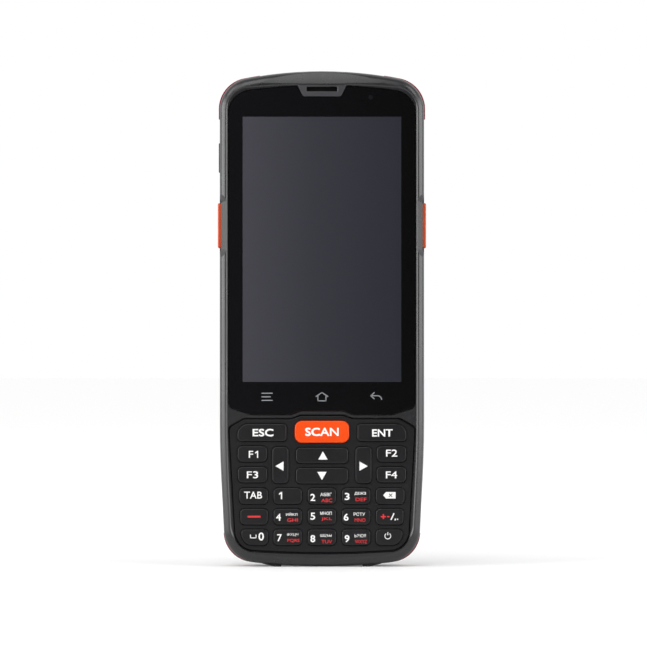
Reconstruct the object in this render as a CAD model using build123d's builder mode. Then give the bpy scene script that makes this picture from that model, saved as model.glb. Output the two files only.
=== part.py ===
"""Portable barcode data terminal, modelled piece by piece in millimetres.

The terminal stands upright on its bottom end. X points to its right as the user
sees it, Y points from the front (screen and keys, -Y) to the back (+Y), Z points up.
The origin is the middle of the bottom of its bounding box.
"""

from build123d import *
import os

os.makedirs("parts", exist_ok=True)

# ------------------------------------------------------------------ general
FAR = 60.0
PLAY = 0.15

# ------------------------------------------------------------------ body outline
HEIGHT = 160.0
HALF_WIDTH = 33.0
TOP_ARC_RADIUS = 130.0
TOP_CORNER_RADIUS = 10.5
KNEE_Z = 37.5
KNEE_RADIUS = 370.0
TAPER_PER_MM = 0.0505
BOTTOM_ARC_RADIUS = 200.0
BOTTOM_ARC_Z = 0.1
BOTTOM_CORNER_RADIUS = 11.0
OUTLINE_OVERLAP = 6.0

# ------------------------------------------------------------------ depth levels (Y)
FRONT_Y = -10.2
PARTING_Y = -1.8
BACK_Y = 6.8
HEAD_BACK_Y = 10.2
HEAD_FOOT_Z = 115.0
HEAD_TOP_Z = 125.0
HEAD_BLEND_RADIUS = 20.0
RIM_RADIUS = 2.8
BROW_Z = 156.0
BROW_RADIUS = 14.0
BROW_LEAD = 2.4
BROW_DEPTH = 4.0
REAR_RADIUS = 3.2
WALL = 1.7
DECK_BACK_Y = -7.1

# ------------------------------------------------------------------ sunk field on the front
# apex z, arc radius and corner radius of the outline's two ends
BODY_TOP = (HEIGHT, TOP_ARC_RADIUS, TOP_CORNER_RADIUS)
BODY_BOTTOM = (BOTTOM_ARC_Z, BOTTOM_ARC_RADIUS, BOTTOM_CORNER_RADIUS)
FIELD_TOP = (158.0, 302.0, 9.3)
FIELD_BOTTOM = (2.85, 330.0, 10.2)
FIELD_Y = -9.8
RIDGE_INSET = 2.0
LIP_RUN_PER_MM = 1.2
LIP_START_Y = -10.4

# ------------------------------------------------------------------ touch glass
GLASS_HALF_WIDTH = 30.1
GLASS_TOP_Z = 155.2
GLASS_TOP_ARC_RADIUS = 180.0
GLASS_CORNER_RADIUS = 7.5
GLASS_BOTTOM_Z = 49.15
GLASS_STEP_Z = 50.4
GLASS_STEP_INNER_X = 6.8
GLASS_STEP_OUTER_X = 9.9
GLASS_BEND_X = 22.7
GLASS_SIDE_Z = 51.5
GLASS_FRONT_Y = -9.85
GLASS_SEAT_Y = -8.65
GLASS_GAP = 0.3
GLASS_SEAT_WIDTH = 1.3
GLASS_EDGE = 0.15
GLASS_SIDE_RADIUS = 2.2
GLASS_BEND_RADIUS = 6.0
GLASS_STEP_OUTER_RADIUS = 1.2
GLASS_STEP_INNER_RADIUS = 1.6
TAB_TOP_HALF_WIDTH = 8.25
TAB_BOTTOM_HALF_WIDTH = 6.0
TAB_BOTTOM_Z = 151.7
TAB_CORNER_RADIUS = 0.7

# ------------------------------------------------------------------ earpiece
EAR_SLOT_SIZE = (10.0, 1.5)
EAR_SLOT_RADIUS = 0.4
EAR_SLOT_Z = 154.1
EAR_MESH_Y = (-9.0, -8.7)
RECEIVER_X = (-7.0, 7.0)
RECEIVER_Z = (150.8, 156.6)
RECEIVER_CORNER_RADIUS = 1.5

# ------------------------------------------------------------------ display and boards
LCD_HALF_WIDTH = 28.0
LCD_Z = (57.2, 149.2)
CHASSIS_INSET = 3.2
CHASSIS_Y = (-5.8, -4.8)
CHASSIS_STEP_Y = (-4.3, -3.3)
CHASSIS_STEP_Z = 49.5
BOARD_Y = (-4.8, -3.8)
BOARD_Z = (50.8, 154.2)
SOCKET_Z = 134.6
SOCKET_WIDTH = 8.94
SOCKET_THICKNESS = 3.26
SOCKET_X = (24.0, 31.2)
SOCKET_PLAY = 0.1
SOCKET_WALL = 0.3
SOCKET_MOUTH_DEPTH = 6.0
SOCKET_TONGUE_X = (25.0, 29.4)
SOCKET_TONGUE_HALF_WIDTH = 3.3
SOCKET_TONGUE_THICKNESS = 0.7

# ------------------------------------------------------------------ keypad
PANEL_TOP_Z = 47.85
PANEL_STEP_Z = 48.95
PANEL_STEP_INNER_X = 7.0
PANEL_STEP_OUTER_X = 10.0
PANEL_CUT_X = 25.3
PANEL_SIDE_X = 30.2
PANEL_SIDE_Z = 45.1
PANEL_LOWER_X = 28.35
PANEL_LOWER_Z = 12.0
PANEL_BOTTOM_Z = 4.3
PANEL_BOTTOM_ARC_RADIUS = 330.0
PANEL_CORNER_RADIUS = 6.5
PANEL_BEND_RADIUS = 2.0
PANEL_SIDE_LEAN = 0.3
PANEL_Y = (-9.3, -8.1)
PANEL_GAP = 0.3
PANEL_EDGE_RADIUS = 0.7
PANEL_SEAT_WIDTH = 1.1
KEY_CLEARANCE = 0.18
KEY_FLANGE_WIDTH = 0.45
KEY_FLANGE_Y = (-8.0, -7.5)
KEY_TOP_Y = -10.0
SCAN_TOP_Y = -10.15
KEY_STEM_RADIUS = 0.9
KEY_STEM_END_Y = -6.25
KEY_EDGE_RADIUS = 0.45
KEYMAT_Y = (-6.9, -6.5)
KEYMAT_HOLE_RADIUS = 1.3
DOME_TOP_Y = -5.65
DOME_RADIUS = 2.0
KEYPAD_BOARD_Y = (-5.4, -4.4)
KEYPAD_BOARD_Z = (7.0, 47.0)

# ------------------------------------------------------------------ battery bay and cover
BAY_HALF_WIDTH = 22.4
BAY_Z = (15.4, 104.0)
BAY_FLOOR_Y = -1.9
BAY_WALL = 1.4
BAY_FLOOR_THICKNESS = 1.0
BATTERY_HALF_WIDTH = 22.0
BATTERY_Z = (22.0, 102.6)
BATTERY_Y = (-1.8, 5.3)
BATTERY_EDGE_RADIUS = 1.6
BATTERY_CONTACT_X = (-4.5, -1.5, 1.5, 4.5)
BATTERY_CONTACT_HALF_WIDTH = 0.7
BATTERY_CONTACT_Y = (0.6, 2.6)
COVER_HALF_WIDTH = 24.5
COVER_Z = (14.0, 106.4)
COVER_Y = (5.55, BACK_Y)
COVER_GAP = 0.2
COVER_CORNER_RADIUS = 2.0
COVER_EDGE_RADIUS = 0.4
LABEL_Z = 78.0
LABEL_SIZE = (38.0, 26.0)
LABEL_CORNER_RADIUS = 1.5
LABEL_DEPTH = 0.2
GRIP_Z = 36.0
GRIP_COUNT = 6
GRIP_PITCH = 2.6
GRIP_WIDTH = 22.0
GRIP_HEIGHT = 1.1
GRIP_DEPTH = 0.4
HINGE_Y = 5.5
HINGE_Z = 107.9
HINGE_BARREL_RADIUS = 1.3
HINGE_PIN_RADIUS = 0.6
HINGE_PLAY = 0.05
HINGE_CHANNEL_Z = (106.2, 110.0)
HINGE_CHANNEL_HALF_WIDTH = 23.5
HINGE_RELIEF_Z = (104.4, 107.2)
HINGE_BEAM_Y = 2.4
HINGE_BEAM_WALL = 1.3
HINGE_PIN_ANCHOR = 0.8
HOUSING_KNUCKLES = ((-23.5, -17.5), (-2.5, 2.5), (17.5, 23.5))
COVER_KNUCKLES = ((-17.3, -2.7), (2.7, 17.3))

# ------------------------------------------------------------------ side controls
TRIGGER_Z = 110.1
TRIGGER_LENGTH = 14.9
TRIGGER_Y = (-7.7, -2.7)
TRIGGER_OUT_X = 33.65
TRIGGER_BACK_X = 31.0
TRIGGER_FLANGE_X = (30.5, 31.2)
TRIGGER_FLANGE_REACH = 0.9
TRIGGER_STEM_X = (30.15, 30.6)
TRIGGER_STEM_HALF_LENGTH = 2.0
TRIGGER_CORNER_RADIUS = 0.8
TRIGGER_EDGE_RADIUS = 0.5
BUTTON_SLOT_X = 30.5
STEM_Y = (-6.3, -4.9)
SCOOP_RIM_X = 30.55
SCOOP_FLOOR_X = 32.55
SCOOP_OUT_X = 36.0
SCOOP_RIM_HALF_LENGTH = 8.0
SCOOP_FLOOR_HALF_LENGTH = 7.5
SCOOP_SLANT = 10.5
ROCKER_Z = 132.0
ROCKER_LENGTH = 9.6
ROCKER_Y = (-7.1, -3.5)
ROCKER_OUT_X = 33.35
ROCKER_PIVOT_X = 30.6
FLAP_Z = (127.5, 141.7)
FLAP_Y = (-5.4, 1.1)
FLAP_THICKNESS = 1.15
FLAP_PIVOT = (32.45, 128.2)
FLAP_PLUG_X = 30.8
FLAP_PLUG_HALF_SIZE = (1.1, 3.6)

# ------------------------------------------------------------------ fasteners
FOOT_SCREWS = ((-22.0, 8.2), (22.0, 8.2))
WAIST_SCREWS = ((-27.6, 60.0), (27.6, 60.0))
HEAD_SCREWS = ((-24.0, 149.0), (24.0, 149.0))
HOUSING_SCREWS = FOOT_SCREWS + WAIST_SCREWS + HEAD_SCREWS
HOUSING_SCREW_SEAT_Y = 4.3
HOUSING_SCREW_TIP_Y = -4.2
BOARD_SCREWS = ((-24.6, 152.6), (24.6, 152.6), (-26.2, 52.4), (26.2, 52.4))
LOWER_SCREWS = ((-9.0, 4.6), (9.0, 4.6))
HOUSING_SCREW_RADIUS = 1.0
HOUSING_HEAD_RADIUS = 1.75
HOUSING_HEAD_HEIGHT = 1.2
HOUSING_BOSS_RADIUS = 2.6
CHASSIS_BOSS_RADIUS = 2.0
POST_RADIUS = 1.5
BOARD_SCREW_RADIUS = 0.6
BOARD_HEAD_RADIUS = 1.3
BOARD_HEAD_HEIGHT = 0.6

# ------------------------------------------------------------------ seals, feet, bumpers
GASKET_INSET = (0.55, 1.15)
GASKET_DEPTH = 0.5
FOOT_Y = (-8.0, 5.0)
FOOT_INNER_X = 13.15
FOOT_FLAT_X = 15.3
FOOT_OUTER_X = 19.3
FOOT_INNER_TOP_Z = 1.2
FOOT_OUTER_Z = (1.0, 1.7)
BUMPER_Y = (-1.3, 4.2)
BUMPER_DEPTH = 0.8
BUMPER_TOP_PROUD = 0.45
BUMPER_TOP_SHAPE = (HEIGHT, TOP_ARC_RADIUS, 9.65)
BUMPER_BOTTOM_PROUD = 0.25
BUMPER_BOTTOM_SHAPE = (BOTTOM_ARC_Z, BOTTOM_ARC_RADIUS, 9.7)
BUMPER_EDGE_RADIUS = 0.3
BUMPER_TOP_X = 20.2
BUMPER_TOP_Z = 144.8
BUMPER_BOTTOM_X = 20.4
BUMPER_BOTTOM_Z = 10.5
CONTACT_PITCH = 3.0
CONTACT_COUNT = 5
CONTACT_WIDTH = 1.6
CONTACT_Y = (1.0, 3.6)

# ------------------------------------------------------------------ scanner head
REAR_WALL = 1.8
ENGINE_HALF_WIDTH = 10.4
ENGINE_Y = (-3.8, 8.2)
ENGINE_Z = (141.0, 156.4)
ENGINE_LENS_Y = 3.0
ENGINE_LENSES = ((-4.6, 2.6), (2.2, 1.6), (6.8, 1.8))
SCAN_WINDOW_X = (-13.0, 13.0)
SCAN_WINDOW_Y = (-1.0, 7.2)
SCAN_WINDOW_Z = (157.4, 159.0)
CAMERA_Z = 133.0
CAMERA_HALF_SIZE = 4.2
CAMERA_FRONT_Y = 4.6
CAMERA_WINDOW_RADIUS = 4.4
LENS_RADIUS = 2.8
FLASH_X = 8.4
FLASH_RADIUS = 1.5
SPEAKER_X = -17.0
SPEAKER_SLOTS = 4
SPEAKER_SLOT_PITCH = 2.0
SPEAKER_SLOT_WIDTH = 10.0
SPEAKER_SLOT_HEIGHT = 0.9
SPEAKER_HALF_SIZE = (7.0, 5.5)
SPEAKER_CORNER_RADIUS = 2.0
SPEAKER_MESH_HALF_SIZE = (5.6, 4.4)

# ------------------------------------------------------------------ latch and rocker
LATCH_Y = (4.25, 5.4)
LATCH_TRAVEL = 2.0
LATCH_HALF_WIDTH = 6.0
LATCH_TONGUE_HALF_WIDTH = 4.0
LATCH_PAD_HALF_WIDTH = 5.0
LATCH_PAD_Z = (17.2, 20.8)
LATCH_PAD_TOP_Y = 7.3
ROCKER_CLEARANCE = 0.25
ROCKER_PIN_RADIUS = 0.5
ROCKER_EAR_X = (-31.8, -29.4)
ROCKER_EAR_Y = (-3.2, -2.0)
ROCKER_EAR_HALF_HEIGHT = 1.4
ROCKER_PIN_DEPTH = 0.8
ROCKER_BACK_X = 31.2
ROCKER_HUB_HALF_HEIGHT = 0.9
ROCKER_STUD_X = 30.3
ROCKER_STUD_OFFSET = 3.4
ROCKER_STUD_HALF_HEIGHT = 0.8
ROCKER_CORNER_RADIUS = 0.7
ROCKER_EDGE_RADIUS = 0.35

# ------------------------------------------------------------------ keys
COLUMN_X = (-22.2, -11.05, 0.0, 11.05, 22.2)
ROW_Z = (22.8, 16.15, 9.5)
KEY_WIDTH = 9.2
KEY_HEIGHT = 5.3
KEY_RADIUS = 1.5
ROW_NAMES = (
    ("key_tab", "key_1", "key_2", "key_3", "key_backspace"),
    ("key_minus", "key_4", "key_5", "key_6", "key_symbols"),
    ("key_0", "key_7", "key_8", "key_9", "key_power"),
)
OUTER_COLUMN_STEP = 0.3
# name, centre x, centre z, width, height, corner radius
UPPER_KEYS = (
    ("key_esc", -19.35, 43.3, 15.9, 5.7, 1.2),
    ("key_scan", 0.0, 43.55, 17.5, 7.1, 2.3),
    ("key_enter", 19.35, 43.3, 15.9, 5.7, 1.2),
    ("key_f1", -22.45, 36.4, 9.6, 5.2, 1.6),
    ("key_f2", 22.45, 36.4, 9.6, 5.2, 1.6),
    ("key_f3", -22.4, 29.7, 9.6, 5.2, 1.6),
    ("key_f4", 22.4, 29.7, 9.6, 5.2, 1.6),
    ("key_left", -13.4, 32.8, 5.3, 11.9, 1.5),
    ("key_right", 13.4, 32.8, 5.3, 11.9, 1.5),
    ("key_up", 0.0, 35.9, 16.9, 5.2, 1.5),
    ("key_down", 0.0, 29.35, 16.9, 5.2, 1.5),
)


# ================================================================== helpers
def both_sides(low, high):
    """The pair of X ranges that mirrors (low, high) to both sides of the body."""
    return ((-high, -low), (low, high))


def centred(middle, half):
    """Range that reaches half to both sides of middle."""
    return (middle - half, middle + half)


def at_depth(y):
    """Sketch plane at depth y, looking at the front: local x is X, local y is Z."""
    return Plane.XZ.offset(-y)


def block(x_range, y_range, z_range, mode=Mode.ADD):
    """Box between the given pairs of coordinates, added to the part in work."""
    ranges = (x_range, y_range, z_range)
    middle = tuple((low + high) / 2 for low, high in ranges)
    with Locations(middle):
        Box(*(abs(high - low) for low, high in ranges), mode=mode)


def slab(outline, y_range, mode=Mode.ADD, **options):
    """Plate with the given outline between two depths."""
    extrude(outline(y_range[1], **options), amount=y_range[1] - y_range[0], mode=mode)


def rods(points, radius, y_range, mode=Mode.ADD):
    """Round bars along Y at the given (x, z) points."""
    with BuildSketch(at_depth(y_range[1])) as circles:
        with Locations(*points):
            Circle(radius)
    extrude(circles.sketch, amount=y_range[1] - y_range[0], mode=mode)


def cross_rods(x_ranges, y, z, radius, mode=Mode.ADD):
    """Round bars along X, each between a pair of x coordinates."""
    for x_range in x_ranges:
        with BuildSketch(Plane.YZ.offset(x_range[0])) as circle:
            with Locations((y, z)):
                Circle(radius)
        extrude(circle.sketch, amount=x_range[1] - x_range[0], mode=mode)


def body_outline(y, grow=0.0, top=BODY_TOP, bottom=BODY_BOTTOM):
    """Outline of the whole terminal from the front, grown outwards by grow."""
    top_z, top_radius, top_corner = top
    bottom_z, bottom_radius, bottom_corner = bottom
    low_z = BOTTOM_ARC_Z - OUTLINE_OVERLAP
    low_x = HALF_WIDTH - TAPER_PER_MM * (KNEE_Z - low_z)
    with BuildSketch(at_depth(y)) as outline:
        with BuildLine():
            Polyline(
                (low_x, low_z),
                (HALF_WIDTH, KNEE_Z),
                (HALF_WIDTH, HEIGHT),
                (-HALF_WIDTH, HEIGHT),
                (-HALF_WIDTH, KNEE_Z),
                (-low_x, low_z),
                close=True,
            )
        make_face()
        with Locations((0, top_z - top_radius)):
            Circle(top_radius, mode=Mode.INTERSECT)
        with Locations((0, bottom_z + bottom_radius)):
            Circle(bottom_radius, mode=Mode.INTERSECT)
        fillet(outline.vertices().group_by(Axis.Y)[-1], top_corner)
        fillet(outline.vertices().group_by(Axis.Y)[0], bottom_corner)
        knees = outline.vertices().filter_by(lambda corner: abs(corner.Y - KNEE_Z) < 0.5)
        fillet(knees, KNEE_RADIUS)
        if grow:
            offset(amount=grow)
    return outline.sketch


def glass_outline(y, grow=0.0):
    """Outline of the touch glass, with its notch for the earpiece tab."""
    with BuildSketch(at_depth(y)) as outline:
        with BuildLine():
            right_side = Polyline(
                (0, GLASS_STEP_Z),
                (GLASS_STEP_INNER_X, GLASS_STEP_Z),
                (GLASS_STEP_OUTER_X, GLASS_BOTTOM_Z),
                (GLASS_BEND_X, GLASS_BOTTOM_Z),
                (GLASS_HALF_WIDTH, GLASS_SIDE_Z),
                (GLASS_HALF_WIDTH, HEIGHT),
                (0, HEIGHT),
            )
            mirror(right_side, about=Plane.YZ)
        make_face()
        with Locations((0, GLASS_TOP_Z - GLASS_TOP_ARC_RADIUS)):
            Circle(GLASS_TOP_ARC_RADIUS, mode=Mode.INTERSECT)
        corners = outline.vertices().group_by(Axis.Y)[-1]
        fillet(corners, GLASS_CORNER_RADIUS)
        bends = outline.vertices().filter_by(lambda corner: abs(corner.Y - GLASS_SIDE_Z) < 0.01)
        fillet(bends, GLASS_SIDE_RADIUS)
        bends = outline.vertices().filter_by(lambda corner: abs(abs(corner.X) - GLASS_BEND_X) < 0.01)
        fillet(bends, GLASS_BEND_RADIUS)
        bends = outline.vertices().filter_by(lambda corner: abs(abs(corner.X) - GLASS_STEP_OUTER_X) < 0.01)
        fillet(bends, GLASS_STEP_OUTER_RADIUS)
        bends = outline.vertices().filter_by(lambda corner: abs(abs(corner.X) - GLASS_STEP_INNER_X) < 0.01)
        fillet(bends, GLASS_STEP_INNER_RADIUS)
        slope = (TAB_TOP_HALF_WIDTH - TAB_BOTTOM_HALF_WIDTH) / (GLASS_TOP_Z - TAB_BOTTOM_Z)
        reach = TAB_BOTTOM_HALF_WIDTH + slope * (HEIGHT - TAB_BOTTOM_Z)
        with BuildLine():
            Polyline(
                (-TAB_BOTTOM_HALF_WIDTH, TAB_BOTTOM_Z),
                (TAB_BOTTOM_HALF_WIDTH, TAB_BOTTOM_Z),
                (reach, HEIGHT),
                (-reach, HEIGHT),
                close=True,
            )
        make_face(mode=Mode.SUBTRACT)
        bends = outline.vertices().filter_by(lambda corner: abs(corner.Y - TAB_BOTTOM_Z) < 0.01)
        fillet(bends, TAB_CORNER_RADIUS)
        if grow:
            offset(amount=grow)
    return outline.sketch


def panel_outline(y, grow=0.0):
    """Outline of the keypad panel, stepped up over the scan key."""
    with BuildSketch(at_depth(y)) as outline:
        low_x = PANEL_LOWER_X - PANEL_SIDE_LEAN
        low_z = PANEL_BOTTOM_Z - OUTLINE_OVERLAP / 2
        with BuildLine():
            right_side = Polyline(
                (0, low_z),
                (low_x, low_z),
                (PANEL_LOWER_X, PANEL_LOWER_Z),
                (PANEL_SIDE_X, PANEL_SIDE_Z),
                (PANEL_CUT_X, PANEL_TOP_Z),
                (PANEL_STEP_OUTER_X, PANEL_TOP_Z),
                (PANEL_STEP_INNER_X, PANEL_STEP_Z),
                (0, PANEL_STEP_Z),
            )
            mirror(right_side, about=Plane.YZ)
        make_face()
        with Locations((0, PANEL_BOTTOM_Z + PANEL_BOTTOM_ARC_RADIUS)):
            Circle(PANEL_BOTTOM_ARC_RADIUS, mode=Mode.INTERSECT)
        corners = outline.vertices().group_by(Axis.Y)[0]
        fillet(corners, PANEL_CORNER_RADIUS)
        bends = outline.vertices().filter_by(lambda corner: corner.Y > PANEL_SIDE_Z - 0.01)
        outer_bends = bends.filter_by(lambda corner: abs(corner.X) > PANEL_CUT_X - 0.01)
        fillet(outer_bends, PANEL_BEND_RADIUS)
        if grow:
            offset(amount=grow)
    return outline.sketch


def rear_profile(depth_inset=0.0):
    """Side profile of the rear housing: flat back, then the thicker scanner head."""
    back = BACK_Y - depth_inset
    head = HEAD_BACK_Y - depth_inset
    with BuildSketch(Plane.YZ) as profile:
        with BuildLine():
            Polyline(
                (PARTING_Y, -FAR),
                (back, -FAR),
                (back, HEAD_FOOT_Z),
                (head, HEAD_TOP_Z),
                (head, HEIGHT + FAR),
                (PARTING_Y, HEIGHT + FAR),
                close=True,
            )
        make_face()
        bends = profile.vertices().filter_by(lambda corner: 0 < corner.Y < HEIGHT)
        fillet(bends, HEAD_BLEND_RADIUS)
    return profile.sketch


def cover_outline(y, grow=0.0):
    """Outline of the battery cover."""
    with BuildSketch(at_depth(y)) as outline:
        with Locations((0, (COVER_Z[0] + COVER_Z[1]) / 2)):
            RectangleRounded(2 * COVER_HALF_WIDTH, COVER_Z[1] - COVER_Z[0], COVER_CORNER_RADIUS)
        if grow:
            offset(amount=grow)
    return outline.sketch


# ================================================================== front housing
def scoop_section(side, y, inner_x, half_length):
    """Section of the finger scoop at depth y: straight along the trigger, slanted at both ends."""
    with BuildSketch(at_depth(y)) as section:
        with BuildLine():
            Polyline(
                (side * inner_x, TRIGGER_Z - half_length),
                (side * inner_x, TRIGGER_Z + half_length),
                (side * SCOOP_OUT_X, TRIGGER_Z + half_length + SCOOP_SLANT),
                (side * SCOOP_OUT_X, TRIGGER_Z - half_length - SCOOP_SLANT),
                close=True,
            )
        make_face()
    return section.sketch


def thumb_scoop(side):
    """Cut the sloping finger scoop into the front edge, over the side trigger."""
    rim = scoop_section(side, FRONT_Y, SCOOP_RIM_X, SCOOP_RIM_HALF_LENGTH)
    floor = scoop_section(side, TRIGGER_Y[0], SCOOP_FLOOR_X, SCOOP_FLOOR_HALF_LENGTH)
    loft((floor, rim), ruled=True, mode=Mode.SUBTRACT)


def sink_field():
    """Sink the field that holds glass and keypad, with a sloping lip down to it."""
    sections = []
    for y in (FIELD_Y, LIP_START_Y):
        inset = RIDGE_INSET + (y - FRONT_Y) * LIP_RUN_PER_MM
        sections.append(body_outline(y, grow=-inset, top=FIELD_TOP, bottom=FIELD_BOTTOM))
    loft(sections, ruled=True, mode=Mode.SUBTRACT)


def round_brow():
    """Let the front fall back in a soft curve from the ridge over the glass to the top end."""
    centre_y = FRONT_Y + (BROW_RADIUS**2 - BROW_LEAD**2) ** 0.5
    with BuildSketch(Plane.YZ) as curve:
        with Locations((FRONT_Y, BROW_Z)):
            Rectangle(BROW_DEPTH, HEIGHT + 1 - BROW_Z, align=(Align.CENTER, Align.MIN))
        with Locations((centre_y, BROW_Z - BROW_LEAD)):
            Circle(BROW_RADIUS, mode=Mode.SUBTRACT)
    extrude(curve.sketch, amount=FAR, both=True, mode=Mode.SUBTRACT)


def feet(mode=Mode.ADD):
    """Both standing feet, or their pockets: wedges that run out into the curved bottom end."""
    for side in (-1, 1):
        with BuildSketch(at_depth(FOOT_Y[1])) as wedge:
            with BuildLine():
                Polyline(
                    (side * FOOT_INNER_X, 0),
                    (side * FOOT_FLAT_X, 0),
                    (side * FOOT_OUTER_X, FOOT_OUTER_Z[0]),
                    (side * FOOT_OUTER_X, FOOT_OUTER_Z[1]),
                    (side * FOOT_INNER_X, FOOT_INNER_TOP_Z),
                    close=True,
                )
            make_face()
        extrude(wedge.sketch, amount=FOOT_Y[1] - FOOT_Y[0], mode=mode)


def port_recess():
    """Cut the recess of the port cover and the way in to the socket."""
    block((HALF_WIDTH - FLAP_THICKNESS, FAR), FLAP_Y, FLAP_Z, mode=Mode.SUBTRACT)
    half_width = SOCKET_WIDTH / 2 + SOCKET_PLAY
    y_range = (BOARD_Y[1] - SOCKET_PLAY, BOARD_Y[1] + SOCKET_THICKNESS + SOCKET_PLAY)
    z_range = (SOCKET_Z - half_width, SOCKET_Z + half_width)
    block((SOCKET_X[1] - 1.2, FAR), y_range, z_range, mode=Mode.SUBTRACT)


with BuildPart() as perimeter_gasket:
    gasket_y = (PARTING_Y - GASKET_DEPTH, PARTING_Y + GASKET_DEPTH)
    slab(body_outline, gasket_y, grow=-GASKET_INSET[0])
    slab(body_outline, gasket_y, mode=Mode.SUBTRACT, grow=-GASKET_INSET[1])

with BuildPart() as front_housing:
    slab(body_outline, (FRONT_Y, PARTING_Y))
    fillet(front_housing.faces().sort_by(Axis.Y)[0].edges(), RIM_RADIUS)
    sink_field()
    round_brow()
    slab(body_outline, (DECK_BACK_Y, PARTING_Y), mode=Mode.SUBTRACT, grow=-WALL)
    slab(glass_outline, (FRONT_Y, GLASS_SEAT_Y), mode=Mode.SUBTRACT, grow=GLASS_GAP)
    slab(glass_outline, (GLASS_SEAT_Y, DECK_BACK_Y), mode=Mode.SUBTRACT, grow=-GLASS_SEAT_WIDTH)
    slab(panel_outline, (FRONT_Y, PANEL_Y[1]), mode=Mode.SUBTRACT, grow=PANEL_GAP)
    slab(panel_outline, (PANEL_Y[1], DECK_BACK_Y), mode=Mode.SUBTRACT, grow=-PANEL_SEAT_WIDTH)
    with BuildSketch(at_depth(DECK_BACK_Y)) as ear_slot:
        with Locations((0, EAR_SLOT_Z)):
            RectangleRounded(*EAR_SLOT_SIZE, EAR_SLOT_RADIUS)
    extrude(ear_slot.sketch, amount=DECK_BACK_Y - FRONT_Y, mode=Mode.SUBTRACT)
    for points, post_end in ((BOARD_SCREWS, CHASSIS_Y[0]), (LOWER_SCREWS, CHASSIS_STEP_Y[0])):
        rods(points, POST_RADIUS, (DECK_BACK_Y - 0.5, post_end))
        rods(points, BOARD_SCREW_RADIUS, (DECK_BACK_Y, post_end), mode=Mode.SUBTRACT)
    add(perimeter_gasket.part, mode=Mode.SUBTRACT)
    for side in (-1, 1):
        thumb_scoop(side)
    for x_range in both_sides(BUTTON_SLOT_X, FAR):
        block(x_range, TRIGGER_Y, centred(TRIGGER_Z, TRIGGER_LENGTH / 2), mode=Mode.SUBTRACT)
    rocker_z = centred(ROCKER_Z, ROCKER_LENGTH / 2 + ROCKER_CLEARANCE)
    rocker_y = (ROCKER_Y[0] - PLAY, ROCKER_Y[1] + PLAY)
    block((-FAR, -BUTTON_SLOT_X), rocker_y, rocker_z, mode=Mode.SUBTRACT)
    block(ROCKER_EAR_X, ROCKER_EAR_Y, centred(ROCKER_Z, ROCKER_EAR_HALF_HEIGHT))
    pivot = ((-ROCKER_PIVOT_X, ROCKER_Z),)
    pin_hole_y = (DECK_BACK_Y - ROCKER_PIN_DEPTH - HINGE_PLAY, ROCKER_EAR_Y[1])
    rods(pivot, ROCKER_PIN_RADIUS + HINGE_PLAY, pin_hole_y, mode=Mode.SUBTRACT)
    port_recess()
    feet(mode=Mode.SUBTRACT)

front_housing.part.label = "front_housing"
export_step(front_housing.part, "parts/front_housing.step")

# ================================================================== corner bumpers
def bumper_skins(proud, z_range, gap_x, **shape):
    """Skins over the two corners at one end, apart by gap_x each side of the middle."""
    with BuildPart(mode=Mode.PRIVATE) as skins:
        slab(body_outline, BUMPER_Y, grow=proud, **shape)
        slab(body_outline, BUMPER_Y, mode=Mode.SUBTRACT, grow=-BUMPER_DEPTH)
        rims = skins.edges().filter_by(lambda edge: edge.center().Y in BUMPER_Y)
        fillet(rims, BUMPER_EDGE_RADIUS)
        block((-gap_x, gap_x), BUMPER_Y, (-FAR, HEIGHT + FAR), mode=Mode.SUBTRACT)
        block((-FAR, FAR), BUMPER_Y, z_range, mode=Mode.INTERSECT)
    add(skins.part)


with BuildPart() as corner_bumpers:
    bumper_skins(BUMPER_TOP_PROUD, (BUMPER_TOP_Z, HEIGHT + FAR), BUMPER_TOP_X, top=BUMPER_TOP_SHAPE)
    bumper_skins(BUMPER_BOTTOM_PROUD, (-FAR, BUMPER_BOTTOM_Z), BUMPER_BOTTOM_X, bottom=BUMPER_BOTTOM_SHAPE)

corner_bumpers.part.label = "corner_bumpers"
export_step(corner_bumpers.part, "parts/corner_bumpers.step")

# ================================================================== rear housing
with BuildPart() as rear_cavity:
    slab(body_outline, (PARTING_Y, HEAD_BACK_Y - REAR_WALL), grow=-REAR_WALL)
    extrude(rear_profile(REAR_WALL), amount=FAR, both=True, mode=Mode.INTERSECT)

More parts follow.
